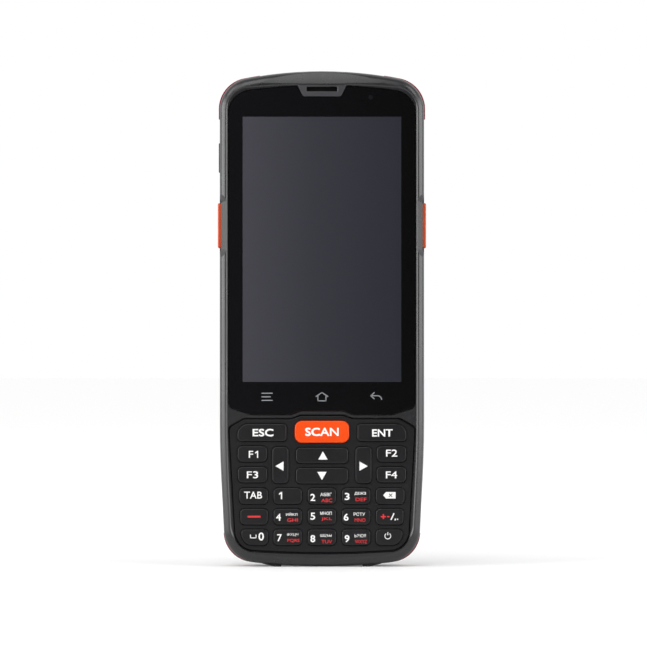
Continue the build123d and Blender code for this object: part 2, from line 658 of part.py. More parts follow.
with BuildPart() as rear_housing:
    slab(body_outline, (PARTING_Y, HEAD_BACK_Y))
    extrude(rear_profile(), amount=FAR, both=True, mode=Mode.INTERSECT)
    back_edges = rear_housing.edges().filter_by(
        lambda edge: edge.center().Y > BACK_Y - 0.5
        and (abs(edge.center().X) > 2 or edge.center().Z > HEIGHT - 5 or edge.center().Z < 5)
    )
    fillet(back_edges, REAR_RADIUS)
    add(rear_cavity.part, mode=Mode.SUBTRACT)
    bay_outer = BAY_HALF_WIDTH + BAY_WALL
    bay_outer_z = (BAY_Z[0] - BAY_WALL, BAY_Z[1] + BAY_WALL)
    block((-bay_outer, bay_outer), (BAY_FLOOR_Y - BAY_FLOOR_THICKNESS, BACK_Y - 0.2), bay_outer_z)
    beam_x = HINGE_CHANNEL_HALF_WIDTH + HINGE_BEAM_WALL
    beam_z = (BAY_Z[1], HINGE_CHANNEL_Z[1] + HINGE_BEAM_WALL)
    block((-beam_x, beam_x), (HINGE_BEAM_Y, BACK_Y - 0.2), beam_z)
    rods(FOOT_SCREWS + WAIST_SCREWS, HOUSING_BOSS_RADIUS, (PARTING_Y, BACK_Y - 1.0))
    rods(HEAD_SCREWS, HOUSING_BOSS_RADIUS, (PARTING_Y, HEAD_BACK_Y - 1.0))
    slab(cover_outline, (COVER_Y[0] - 0.05, HEAD_BACK_Y), mode=Mode.SUBTRACT, grow=COVER_GAP)
    bay_x = (-BAY_HALF_WIDTH, BAY_HALF_WIDTH)
    block(bay_x, (BAY_FLOOR_Y, HEAD_BACK_Y), BAY_Z, mode=Mode.SUBTRACT)
    channel_x = (-HINGE_CHANNEL_HALF_WIDTH, HINGE_CHANNEL_HALF_WIDTH)
    channel_floor_y = HINGE_Y - HINGE_BARREL_RADIUS - PLAY
    block(channel_x, (channel_floor_y, HEAD_BACK_Y), HINGE_CHANNEL_Z, mode=Mode.SUBTRACT)
    relief_x = (-COVER_HALF_WIDTH - COVER_GAP, COVER_HALF_WIDTH + COVER_GAP)
    block(relief_x, (COVER_Y[0] - 0.05, HEAD_BACK_Y), HINGE_RELIEF_Z, mode=Mode.SUBTRACT)
    cross_rods(HOUSING_KNUCKLES, HINGE_Y, HINGE_Z, HINGE_BARREL_RADIUS)
    for x_range in HOUSING_KNUCKLES:
        block(x_range, (channel_floor_y - 0.2, HINGE_Y), (HINGE_Z, HINGE_CHANNEL_Z[1] + 0.2))
    pin_x = (channel_x[0] - HINGE_PIN_ANCHOR, channel_x[1] + HINGE_PIN_ANCHOR)
    cross_rods((pin_x,), HINGE_Y, HINGE_Z, HINGE_PIN_RADIUS, mode=Mode.SUBTRACT)
    slot_half = LATCH_TONGUE_HALF_WIDTH + 0.3
    slot_z = (BAY_Z[0] - LATCH_TRAVEL - 1.2, BAY_Z[0] + 0.5)
    block((-slot_half, slot_half), (LATCH_Y[0] - 0.2, COVER_Y[0]), slot_z, mode=Mode.SUBTRACT)
    shank_y = (PARTING_Y, HEAD_BACK_Y)
    rods(HOUSING_SCREWS, HOUSING_SCREW_RADIUS + PLAY, shank_y, mode=Mode.SUBTRACT)
    well_y = (HOUSING_SCREW_SEAT_Y, FAR)
    rods(HOUSING_SCREWS, HOUSING_HEAD_RADIUS + 0.2, well_y, mode=Mode.SUBTRACT)
    camera_at = ((0, CAMERA_Z),)
    rods(camera_at, CAMERA_WINDOW_RADIUS + 0.05, (HEAD_BACK_Y - 0.9, HEAD_BACK_Y), mode=Mode.SUBTRACT)
    rods(camera_at, LENS_RADIUS + 0.2, (HEAD_BACK_Y - 3.0, HEAD_BACK_Y), mode=Mode.SUBTRACT)
    flash_at = ((FLASH_X, CAMERA_Z),)
    rods(flash_at, FLASH_RADIUS, (HEAD_BACK_Y - 3.0, HEAD_BACK_Y), mode=Mode.SUBTRACT)
    with BuildSketch(at_depth(HEAD_BACK_Y + 0.5)) as sound_slots:
        with Locations((SPEAKER_X, CAMERA_Z)):
            with GridLocations(0, SPEAKER_SLOT_PITCH, 1, SPEAKER_SLOTS):
                SlotOverall(SPEAKER_SLOT_WIDTH, SPEAKER_SLOT_HEIGHT)
    extrude(sound_slots.sketch, amount=3.0, mode=Mode.SUBTRACT)
    block(SCAN_WINDOW_X, SCAN_WINDOW_Y, (SCAN_WINDOW_Z[0] - 0.4, HEIGHT + FAR), mode=Mode.SUBTRACT)
    add(perimeter_gasket.part, mode=Mode.SUBTRACT)
    add(corner_bumpers.part, mode=Mode.SUBTRACT)
    contact_x = (CONTACT_COUNT - 1) * CONTACT_PITCH / 2
    for index in range(CONTACT_COUNT):
        middle = index * CONTACT_PITCH - contact_x
        x_range = (middle - CONTACT_WIDTH / 2, middle + CONTACT_WIDTH / 2)
        block(x_range, CONTACT_Y, (-FAR, BOTTOM_ARC_Z + REAR_WALL + 0.5), mode=Mode.SUBTRACT)
    port_recess()
    feet(mode=Mode.SUBTRACT)

rear_housing.part.label = "rear_housing"
export_step(rear_housing.part, "parts/rear_housing.step")

# ================================================================== perimeter gasket
with BuildPart() as sealed_gasket:
    add(perimeter_gasket.part)
    port_recess()
    feet(mode=Mode.SUBTRACT)

sealed_gasket.part.label = "perimeter_gasket"
export_step(sealed_gasket.part, "parts/perimeter_gasket.step")

# ================================================================== feet and contacts
with BuildPart() as standing_feet:
    feet()

standing_feet.part.label = "standing_feet"
export_step(standing_feet.part, "parts/standing_feet.step")

with BuildPart() as dock_contacts:
    for index in range(CONTACT_COUNT):
        middle = index * CONTACT_PITCH - contact_x
        x_range = (middle - CONTACT_WIDTH / 2, middle + CONTACT_WIDTH / 2)
        block(x_range, CONTACT_Y, (BOTTOM_ARC_Z + 0.15, BOTTOM_ARC_Z + REAR_WALL + 0.8))

dock_contacts.part.label = "dock_contacts"
export_step(dock_contacts.part, "parts/dock_contacts.step")

# ================================================================== glass and display
with BuildPart() as touch_glass:
    slab(glass_outline, (GLASS_FRONT_Y, GLASS_SEAT_Y))
    chamfer(touch_glass.faces().sort_by(Axis.Y)[0].edges(), GLASS_EDGE)

touch_glass.part.label = "touch_glass"
export_step(touch_glass.part, "parts/touch_glass.step")

with BuildPart() as display_module:
    block((-LCD_HALF_WIDTH, LCD_HALF_WIDTH), (GLASS_SEAT_Y, CHASSIS_Y[0]), LCD_Z)
    block((-9, 9), (CHASSIS_Y[0] - 0.3, CHASSIS_Y[0]), (LCD_Z[0] - 4.5, LCD_Z[0]))

display_module.part.label = "display_module"
export_step(display_module.part, "parts/display_module.step")

with BuildPart() as earpiece_receiver:
    block(RECEIVER_X, (DECK_BACK_Y, BOARD_Y[0] - 0.1), RECEIVER_Z)
    fillet(earpiece_receiver.edges().filter_by(Axis.Y), RECEIVER_CORNER_RADIUS)

earpiece_receiver.part.label = "earpiece_receiver"
export_step(earpiece_receiver.part, "parts/earpiece_receiver.step")

# ================================================================== chassis and boards
SWITCH_X = (28.1, 29.7)
SWITCH_THICKNESS = 1.6
SWITCH_HALF_LENGTH = 3.0
ROCKER_SWITCH_HALF_LENGTH = 1.5
NOTCH_X = 27.9
SWITCH_NOTCHES = (
    ((NOTCH_X, FAR), centred(TRIGGER_Z, 4.5)),
    ((-FAR, -NOTCH_X), centred(TRIGGER_Z, 4.5)),
    ((-FAR, -NOTCH_X), centred(ROCKER_Z, 6.0)),
)

with BuildPart() as mid_frame:
    with BuildSketch(Plane.YZ) as chassis_profile:
        with BuildLine():
            Polyline(
                (CHASSIS_Y[0], HEIGHT),
                (CHASSIS_Y[0], CHASSIS_STEP_Z + 0.75),
                (CHASSIS_STEP_Y[0], CHASSIS_STEP_Z - 0.75),
                (CHASSIS_STEP_Y[0], 0),
                (CHASSIS_STEP_Y[1], 0),
                (CHASSIS_STEP_Y[1], CHASSIS_STEP_Z - 0.35),
                (CHASSIS_Y[1], CHASSIS_STEP_Z + 1.15),
                (CHASSIS_Y[1], HEIGHT),
                close=True,
            )
        make_face()
    extrude(amount=HALF_WIDTH, both=True)
    slab(body_outline, (FRONT_Y, BACK_Y), mode=Mode.INTERSECT, grow=-CHASSIS_INSET)
    rods(FOOT_SCREWS, CHASSIS_BOSS_RADIUS, (CHASSIS_STEP_Y[0], PARTING_Y))
    rods(WAIST_SCREWS + HEAD_SCREWS, CHASSIS_BOSS_RADIUS, (CHASSIS_Y[0], PARTING_Y))
    rods(HOUSING_SCREWS, HOUSING_SCREW_RADIUS, (HOUSING_SCREW_TIP_Y, PARTING_Y), mode=Mode.SUBTRACT)
    block((-7.4, 7.4), (FRONT_Y, BACK_Y), (150.4, HEIGHT), mode=Mode.SUBTRACT)
    for x_range, z_range in SWITCH_NOTCHES:
        block(x_range, (FRONT_Y, BACK_Y), z_range, mode=Mode.SUBTRACT)
    rods(BOARD_SCREWS + LOWER_SCREWS, BOARD_SCREW_RADIUS, (FRONT_Y, PARTING_Y), mode=Mode.SUBTRACT)
    tail_slot_z = (LCD_Z[0] - 4.8, LCD_Z[0] - 2.8)
    block((-9.5, 9.5), (CHASSIS_Y[0] - 0.5, CHASSIS_Y[1]), tail_slot_z, mode=Mode.SUBTRACT)

mid_frame.part.label = "mid_frame"
export_step(mid_frame.part, "parts/mid_frame.step")

# x range, z range and height over the board
SHIELDS_AND_CHIPS = (
    ((-26, -14), (112, 124), 1.2),
    ((-10, 8), (110, 124), 1.4),
    ((12, 22), (112, 122), 1.0),
    ((-22, -16), (70, 78), 0.6),
    ((-8, -3), (70, 78), 0.6),
    ((3, 12), (70, 78), 0.6),
    ((16, 22), (70, 78), 0.6),
)

with BuildPart() as main_board:
    slab(body_outline, BOARD_Y, grow=-CHASSIS_INSET)
    block((-FAR, FAR), (FRONT_Y, BACK_Y), (-FAR, BOARD_Z[0]), mode=Mode.SUBTRACT)
    block((-FAR, FAR), (FRONT_Y, BACK_Y), (BOARD_Z[1], HEIGHT + FAR), mode=Mode.SUBTRACT)
    rods(WAIST_SCREWS + HEAD_SCREWS, CHASSIS_BOSS_RADIUS + 0.35, (FRONT_Y, BACK_Y), mode=Mode.SUBTRACT)
    rods(BOARD_SCREWS, BOARD_SCREW_RADIUS, (FRONT_Y, BACK_Y), mode=Mode.SUBTRACT)
    for x_range, z_range, height in SHIELDS_AND_CHIPS:
        block(x_range, (BOARD_Y[0] + 0.5, BOARD_Y[1] + height), z_range)

main_board.part.label = "main_board"
export_step(main_board.part, "parts/main_board.step")

with BuildPart() as side_switches:
    left_x, right_x = both_sides(*SWITCH_X)
    switch_y = (BOARD_Y[0] - SWITCH_THICKNESS, BOARD_Y[0])
    for x_range in (left_x, right_x):
        block(x_range, switch_y, centred(TRIGGER_Z, SWITCH_HALF_LENGTH))
    for middle in centred(ROCKER_Z, ROCKER_STUD_OFFSET):
        block(left_x, switch_y, centred(middle, ROCKER_SWITCH_HALF_LENGTH))

side_switches.part.label = "side_switches"
export_step(side_switches.part, "parts/side_switches.step")

with BuildPart() as usb_socket:
    half_width = SOCKET_WIDTH / 2
    socket_y = (BOARD_Y[1], BOARD_Y[1] + SOCKET_THICKNESS)
    socket_z = (SOCKET_Z - half_width, SOCKET_Z + half_width)
    block(SOCKET_X, socket_y, socket_z)
    fillet(usb_socket.edges().filter_by(Axis.X), 1.4)
    with BuildSketch(Plane.YZ.offset(SOCKET_X[1])) as mouth:
        with Locations((sum(socket_y) / 2, SOCKET_Z)):
            RectangleRounded(SOCKET_THICKNESS - 2 * SOCKET_WALL, SOCKET_WIDTH - 2 * SOCKET_WALL, 1.2)
    extrude(mouth.sketch, amount=-SOCKET_MOUTH_DEPTH, mode=Mode.SUBTRACT)
    tongue_y = centred(sum(socket_y) / 2, SOCKET_TONGUE_THICKNESS / 2)
    block(SOCKET_TONGUE_X, tongue_y, centred(SOCKET_Z, SOCKET_TONGUE_HALF_WIDTH))

usb_socket.part.label = "usb_socket"
export_step(usb_socket.part, "parts/usb_socket.step")

# ================================================================== scanner head pieces
with BuildPart() as scan_engine:
    block((-ENGINE_HALF_WIDTH, ENGINE_HALF_WIDTH), ENGINE_Y, ENGINE_Z)
    fillet(scan_engine.edges().filter_by(Axis.Z), 0.8)
    for lens_x, lens_radius in ENGINE_LENSES:
        with BuildSketch(Plane.XY.offset(ENGINE_Z[1] - 1.5)) as lens_circle:
            with Locations((lens_x, ENGINE_LENS_Y)):
                Circle(lens_radius)
        extrude(lens_circle.sketch, amount=3.0, mode=Mode.SUBTRACT)
        with BuildSketch(Plane.XY.offset(ENGINE_Z[1] - 1.6)) as lens_dome:
            with Locations((lens_x, ENGINE_LENS_Y)):
                Circle(lens_radius - 0.3)
        extrude(lens_dome.sketch, amount=1.2)

scan_engine.part.label = "scan_engine"
export_step(scan_engine.part, "parts/scan_engine.step")

with BuildPart() as scan_window:
    block(SCAN_WINDOW_X, SCAN_WINDOW_Y, SCAN_WINDOW_Z)

scan_window.part.label = "scan_window"
export_step(scan_window.part, "parts/scan_window.step")

with BuildPart() as camera_module:
    size = CAMERA_HALF_SIZE
    block((-size, size), (CAMERA_FRONT_Y, HEAD_BACK_Y - REAR_WALL), centred(CAMERA_Z, size))
    rods(camera_at, LENS_RADIUS, (CAMERA_FRONT_Y, HEAD_BACK_Y - 1.2))
    rods(camera_at, LENS_RADIUS - 0.9, (HEAD_BACK_Y - 1.8, HEAD_BACK_Y - 1.0), mode=Mode.SUBTRACT)

camera_module.part.label = "camera_module"
export_step(camera_module.part, "parts/camera_module.step")

with BuildPart() as camera_window:
    rods(camera_at, CAMERA_WINDOW_RADIUS, (HEAD_BACK_Y - 0.9, HEAD_BACK_Y - 0.1))

camera_window.part.label = "camera_window"
export_step(camera_window.part, "parts/camera_window.step")

with BuildPart() as flash_led:
    rods(flash_at, FLASH_RADIUS, (HEAD_BACK_Y - 2.2, HEAD_BACK_Y - 0.1))
    rods(flash_at, FLASH_RADIUS + 0.8, (HEAD_BACK_Y - 2.6, HEAD_BACK_Y - REAR_WALL))

flash_led.part.label = "flash_led"
export_step(flash_led.part, "parts/flash_led.step")

with BuildPart() as sound_meshes:
    with BuildSketch(at_depth(EAR_MESH_Y[1])) as ear_mesh:
        with Locations((0, EAR_SLOT_Z)):
            RectangleRounded(*EAR_SLOT_SIZE, EAR_SLOT_RADIUS)
    extrude(ear_mesh.sketch, amount=EAR_MESH_Y[1] - EAR_MESH_Y[0])
    mesh_y = (HEAD_BACK_Y - 2.0, HEAD_BACK_Y - REAR_WALL)
    mesh_half_x, mesh_half_z = SPEAKER_MESH_HALF_SIZE
    block(centred(SPEAKER_X, mesh_half_x), mesh_y, centred(CAMERA_Z, mesh_half_z))

sound_meshes.part.label = "sound_meshes"
export_step(sound_meshes.part, "parts/sound_meshes.step")

with BuildPart() as loudspeaker:
    speaker_x = centred(SPEAKER_X, SPEAKER_HALF_SIZE[0])
    speaker_y = (CAMERA_FRONT_Y, HEAD_BACK_Y - 2.0)
    block(speaker_x, speaker_y, centred(CAMERA_Z, SPEAKER_HALF_SIZE[1]))
    fillet(loudspeaker.edges().filter_by(Axis.Y), SPEAKER_CORNER_RADIUS)

loudspeaker.part.label = "loudspeaker"
export_step(loudspeaker.part, "parts/loudspeaker.step")

# ================================================================== battery
with BuildPart() as battery_pack:
    block((-BATTERY_HALF_WIDTH, BATTERY_HALF_WIDTH), BATTERY_Y, BATTERY_Z)
    fillet(battery_pack.edges().filter_by(Axis.Z), BATTERY_EDGE_RADIUS)

battery_pack.part.label = "battery_pack"
export_step(battery_pack.part, "parts/battery_pack.step")

with BuildPart() as battery_contacts:
    for middle in BATTERY_CONTACT_X:
        block(centred(middle, BATTERY_CONTACT_HALF_WIDTH), BATTERY_CONTACT_Y, (BATTERY_Z[1], BAY_Z[1]))

battery_contacts.part.label = "battery_contacts"
export_step(battery_contacts.part, "parts/battery_contacts.step")

# ================================================================== battery cover
with BuildPart() as battery_cover:
    slab(cover_outline, COVER_Y)
    fillet(battery_cover.faces().sort_by(Axis.Y)[-1].edges(), COVER_EDGE_RADIUS)
    with BuildSketch(at_depth(BACK_Y)) as label_recess:
        with Locations((0, LABEL_Z)):
            RectangleRounded(*LABEL_SIZE, LABEL_CORNER_RADIUS)
    extrude(label_recess.sketch, amount=LABEL_DEPTH, mode=Mode.SUBTRACT)
    with BuildSketch(at_depth(BACK_Y)) as grip_slots:
        with Locations((0, GRIP_Z)):
            with GridLocations(0, GRIP_PITCH, 1, GRIP_COUNT):
                SlotOverall(GRIP_WIDTH, GRIP_HEIGHT)
    extrude(grip_slots.sketch, amount=GRIP_DEPTH, mode=Mode.SUBTRACT)
    for x_range in COVER_KNUCKLES:
        block(x_range, (COVER_Y[0], HINGE_Y + HINGE_BARREL_RADIUS), (COVER_Z[1] - 1.5, HINGE_Z))
    cross_rods(COVER_KNUCKLES, HINGE_Y, HINGE_Z, HINGE_BARREL_RADIUS)
    bore_x = (-HINGE_CHANNEL_HALF_WIDTH, HINGE_CHANNEL_HALF_WIDTH)
    cross_rods((bore_x,), HINGE_Y, HINGE_Z, HINGE_PIN_RADIUS + HINGE_PLAY, mode=Mode.SUBTRACT)
    neck_half = LATCH_PAD_HALF_WIDTH - 1.5
    neck_z = (LATCH_PAD_Z[0] + 0.8, LATCH_PAD_Z[1] - 0.8)
    slot_z = (neck_z[0] - LATCH_TRAVEL - 0.15, neck_z[1] + 0.15)
    block((-neck_half - 0.15, neck_half + 0.15), (COVER_Y[0] - 1, BACK_Y + 1), slot_z, mode=Mode.SUBTRACT)

battery_cover.part.label = "battery_cover"
export_step(battery_cover.part, "parts/battery_cover.step")

with BuildPart() as hinge_pin:
    cross_rods((pin_x,), HINGE_Y, HINGE_Z, HINGE_PIN_RADIUS)

hinge_pin.part.label = "hinge_pin"
export_step(hinge_pin.part, "parts/hinge_pin.step")

with BuildPart() as cover_latch:
    latch_foot_z = BAY_Z[0] + LATCH_TRAVEL + 0.2
    block(centred(0, LATCH_HALF_WIDTH), LATCH_Y, (latch_foot_z, LATCH_PAD_Z[1] + 0.3))
    block(centred(0, LATCH_TONGUE_HALF_WIDTH), LATCH_Y, (BAY_Z[0] + 0.2, latch_foot_z))
    block(centred(0, neck_half), (LATCH_Y[0] + 0.5, BACK_Y + PLAY), neck_z)
    block(centred(0, LATCH_PAD_HALF_WIDTH), (BACK_Y + 0.1, LATCH_PAD_TOP_Y), LATCH_PAD_Z)
    with BuildSketch(at_depth(LATCH_PAD_TOP_Y + 0.1)) as grip_grooves:
        with Locations((0, sum(LATCH_PAD_Z) / 2)):
            with GridLocations(0, 0.9, 1, 3):
                Rectangle(2 * LATCH_PAD_HALF_WIDTH - 1.6, 0.35)
    extrude(grip_grooves.sketch, amount=0.35, mode=Mode.SUBTRACT)

cover_latch.part.label = "cover_latch"
export_step(cover_latch.part, "parts/cover_latch.step")

# ================================================================== screws
with BuildPart() as housing_screws:
    head_top = HOUSING_SCREW_SEAT_Y + HOUSING_HEAD_HEIGHT
    rods(HOUSING_SCREWS, HOUSING_SCREW_RADIUS, (HOUSING_SCREW_TIP_Y, HOUSING_SCREW_SEAT_Y))
    rods(HOUSING_SCREWS, HOUSING_HEAD_RADIUS, (HOUSING_SCREW_SEAT_Y, head_top))
    for angle in (0, 90):
        with BuildSketch(at_depth(head_top)) as cross_slot:
            with Locations(*HOUSING_SCREWS):
                Rectangle(1.9, 0.45, rotation=angle)
        extrude(cross_slot.sketch, amount=0.7, mode=Mode.SUBTRACT)

housing_screws.part.label = "housing_screws"
export_step(housing_screws.part, "parts/housing_screws.step")

with BuildPart() as board_screws:
    for points, seat_y in ((BOARD_SCREWS, BOARD_Y[1]), (LOWER_SCREWS, CHASSIS_STEP_Y[1])):
        rods(points, BOARD_SCREW_RADIUS, (DECK_BACK_Y + 0.1, seat_y))
        rods(points, BOARD_HEAD_RADIUS, (seat_y, seat_y + BOARD_HEAD_HEIGHT))

board_screws.part.label = "board_screws"
export_step(board_screws.part, "parts/board_screws.step")

# ================================================================== keys
def key_outline(y, key, grow=0.0):
    """Outline of one key: (name, x, z, width, height, corner radius)."""
    name, x, z, width, height, radius = key
    with BuildSketch(at_depth(y)) as outline:
        with Locations((x, z)):
            Rectangle(width, height)
        side, end, outer_radius = OUTER_CORNERS.get(name, (1, 1, radius))
        corners = outline.vertices().sort_by(lambda corner: -side * corner.X - end * corner.Y)
        fillet(corners[1:], radius)
        outer_corner = outline.vertices().sort_by(lambda corner: -side * corner.X - end * corner.Y)[0]
        fillet(outer_corner, outer_radius)
        if grow:
            offset(amount=grow)
    return outline.sketch


def grid_keys():
    """The fifteen keys of the lower block, the outer columns narrowing downwards."""
    keys = []
    for row, names in enumerate(ROW_NAMES):
        for column, name in enumerate(names):
            outer = column in (0, len(names) - 1)
            trim = OUTER_COLUMN_STEP * (row + 1) if outer else 0.0
            x = COLUMN_X[column]
            middle = x - trim / 2 * (1 if x > 0 else -1) if outer else x
            keys.append((name, middle, ROW_Z[row], KEY_WIDTH + 0.4 * outer - trim, KEY_HEIGHT, KEY_RADIUS))
    return tuple(keys)


# corner (side, end, radius) that follows the panel's own outline
OUTER_CORNERS = {
    "key_esc": (-1, 1, 3.6),
    "key_enter": (1, 1, 3.6),
    "key_0": (-1, -1, 3.7),
    "key_power": (1, -1, 3.7),
}
KEYS = UPPER_KEYS + grid_keys()

for key in KEYS:
    name, x, z = key[:3]
    top_y = SCAN_TOP_Y if name == "key_scan" else KEY_TOP_Y
    with BuildPart() as key_cap:
        slab(key_outline, (top_y, KEY_FLANGE_Y[1]), key=key)
        fillet(key_cap.faces().sort_by(Axis.Y)[0].edges(), KEY_EDGE_RADIUS)
        slab(key_outline, KEY_FLANGE_Y, key=key, grow=KEY_FLANGE_WIDTH)
        rods(((x, z),), KEY_STEM_RADIUS, (KEY_FLANGE_Y[1] - 0.2, KEY_STEM_END_Y))
    key_cap.part.label = name
    export_step(key_cap.part, "parts/" + name + ".step")

KEY_CENTRES = tuple((key[1], key[2]) for key in KEYS)

with BuildPart() as keypad_panel:
    slab(panel_outline, PANEL_Y)
    fillet(keypad_panel.faces().sort_by(Axis.Y)[0].edges(), PANEL_EDGE_RADIUS)
    for key in KEYS:
        slab(key_outline, (FRONT_Y, PANEL_Y[1]), mode=Mode.SUBTRACT, key=key, grow=KEY_CLEARANCE)

keypad_panel.part.label = "keypad_panel"
export_step(keypad_panel.part, "parts/keypad_panel.step")

with BuildPart() as keymat:
    slab(body_outline, KEYMAT_Y, grow=-CHASSIS_INSET)
    block((-FAR, FAR), (FRONT_Y, BACK_Y), (-FAR, KEYPAD_BOARD_Z[0]), mode=Mode.SUBTRACT)
    block((-FAR, FAR), (FRONT_Y, BACK_Y), (KEYPAD_BOARD_Z[1], HEIGHT + FAR), mode=Mode.SUBTRACT)
    rods(KEY_CENTRES, KEYMAT_HOLE_RADIUS, KEYMAT_Y, mode=Mode.SUBTRACT)
    for x_range in both_sides(27.0, 28.6):
        block(x_range, (KEYMAT_Y[1], KEYPAD_BOARD_Y[0]), (12.0, 44.0))

keymat.part.label = "keymat"
export_step(keymat.part, "parts/keymat.step")

with BuildPart() as keypad_board:
    slab(body_outline, KEYPAD_BOARD_Y, grow=-CHASSIS_INSET)
    block((-FAR, FAR), (FRONT_Y, BACK_Y), (-FAR, KEYPAD_BOARD_Z[0]), mode=Mode.SUBTRACT)
    block((-FAR, FAR), (FRONT_Y, BACK_Y), (KEYPAD_BOARD_Z[1], HEIGHT + FAR), mode=Mode.SUBTRACT)
    rods(KEY_CENTRES, DOME_RADIUS, (DOME_TOP_Y, KEYPAD_BOARD_Y[0] + 0.1))

keypad_board.part.label = "keypad_board"
export_step(keypad_board.part, "parts/keypad_board.step")

# ================================================================== side controls
for name, right in (("trigger_left", False), ("trigger_right", True)):
    cap_half = TRIGGER_LENGTH / 2 - PLAY
    cap_y = (TRIGGER_Y[0] + PLAY, TRIGGER_Y[1] - PLAY)
    flange_y = (DECK_BACK_Y + PLAY, cap_y[1])
    flange_x = both_sides(*TRIGGER_FLANGE_X)[right]
    stem_x = both_sides(*TRIGGER_STEM_X)[right]
    with BuildPart() as trigger:
        block(both_sides(TRIGGER_BACK_X, TRIGGER_OUT_X)[right], cap_y, centred(TRIGGER_Z, cap_half))
        fillet(trigger.edges().filter_by(Axis.X), TRIGGER_CORNER_RADIUS)
        outer_face = trigger.faces().sort_by(Axis.X)[-1 if right else 0]
        fillet(outer_face.edges(), TRIGGER_EDGE_RADIUS)
        block(flange_x, flange_y, centred(TRIGGER_Z, cap_half + TRIGGER_FLANGE_REACH))
        block(stem_x, STEM_Y, centred(TRIGGER_Z, TRIGGER_STEM_HALF_LENGTH))
    trigger.part.label = name
    export_step(trigger.part, "parts/" + name + ".step")

with BuildPart() as volume_rocker:
    block((-ROCKER_OUT_X, -ROCKER_BACK_X), ROCKER_Y, centred(ROCKER_Z, ROCKER_LENGTH / 2))
    fillet(volume_rocker.edges().filter_by(Axis.X), ROCKER_CORNER_RADIUS)
    fillet(volume_rocker.faces().sort_by(Axis.X)[0].edges(), ROCKER_EDGE_RADIUS)
    block((-ROCKER_BACK_X, -ROCKER_PIVOT_X), ROCKER_Y, centred(ROCKER_Z, ROCKER_HUB_HALF_HEIGHT))
    for stud_z in centred(ROCKER_Z, ROCKER_STUD_OFFSET):
        block((-ROCKER_BACK_X, -ROCKER_STUD_X), STEM_Y, centred(stud_z, ROCKER_STUD_HALF_HEIGHT))
    rods(pivot, ROCKER_PIN_RADIUS, (DECK_BACK_Y - ROCKER_PIN_DEPTH, ROCKER_EAR_Y[1] - HINGE_PLAY))

volume_rocker.part.label = "volume_rocker"
export_step(volume_rocker.part, "parts/volume_rocker.step")

with BuildPart() as usb_flap:
    flap_y = (FLAP_Y[0] + PLAY, FLAP_Y[1] - PLAY)
    flap_x = (HALF_WIDTH - FLAP_THICKNESS + HINGE_PLAY, HALF_WIDTH)
    block(flap_x, flap_y, (FLAP_PIVOT[1], FLAP_Z[1] - PLAY))
    rods((FLAP_PIVOT,), HALF_WIDTH - FLAP_PIVOT[0], flap_y)
    plug_y = centred(sum(socket_y) / 2, FLAP_PLUG_HALF_SIZE[0])
    block((FLAP_PLUG_X, HALF_WIDTH - FLAP_THICKNESS / 2), plug_y, centred(SOCKET_Z, FLAP_PLUG_HALF_SIZE[1]))

usb_flap.part.label = "usb_flap"
export_step(usb_flap.part, "parts/usb_flap.step")
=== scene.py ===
"""Looks of a portable barcode data terminal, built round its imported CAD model.

Sizes are given in millimetres and turned to metres by MM. X runs to the right as the
user sees the screen, -Y out of the screen, +Z up along the terminal.
"""

import logging
import math
from dataclasses import dataclass, field
from enum import Enum

import bmesh
import bpy
from mathutils import Matrix, Vector


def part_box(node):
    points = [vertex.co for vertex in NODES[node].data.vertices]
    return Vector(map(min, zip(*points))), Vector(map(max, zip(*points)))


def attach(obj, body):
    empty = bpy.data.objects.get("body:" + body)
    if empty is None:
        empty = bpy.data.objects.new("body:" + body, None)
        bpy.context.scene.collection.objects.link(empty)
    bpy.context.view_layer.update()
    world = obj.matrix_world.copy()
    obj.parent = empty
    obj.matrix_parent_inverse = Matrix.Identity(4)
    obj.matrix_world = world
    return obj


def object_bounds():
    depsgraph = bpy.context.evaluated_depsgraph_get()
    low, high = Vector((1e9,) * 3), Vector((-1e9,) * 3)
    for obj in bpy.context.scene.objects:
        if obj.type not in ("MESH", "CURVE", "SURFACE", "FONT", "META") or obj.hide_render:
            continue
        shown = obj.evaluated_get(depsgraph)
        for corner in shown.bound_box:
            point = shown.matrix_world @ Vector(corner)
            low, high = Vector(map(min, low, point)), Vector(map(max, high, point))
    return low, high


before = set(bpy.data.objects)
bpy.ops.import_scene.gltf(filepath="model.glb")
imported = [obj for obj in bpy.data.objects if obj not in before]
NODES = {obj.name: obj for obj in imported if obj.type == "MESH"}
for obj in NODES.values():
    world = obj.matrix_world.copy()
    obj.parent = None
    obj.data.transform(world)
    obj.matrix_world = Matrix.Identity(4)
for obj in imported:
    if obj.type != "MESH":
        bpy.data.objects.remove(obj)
CAD_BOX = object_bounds()

MM = 0.001
# Length of one band of Blender's wave texture at a scale of one.
WAVE_LENGTH = 0.314
log = logging.getLogger("terminal")


# ---------------------------------------------------------------- colour and nodes
def linear(hex_colour: str) -> tuple[float, float, float, float]:
    """Turn an sRGB hex colour into linear RGBA.

    Args:
        hex_colour: colour such as #48484a.

    Returns:
        Red, green, blue and an alpha of one.
    """
    channels = [int(hex_colour[start:start + 2], 16) / 255 for start in (1, 3, 5)]
    red, green, blue = (c / 12.92 if c <= 0.04045 else ((c + 0.055) / 1.055) ** 2.4 for c in channels)
    return red, green, blue, 1.0


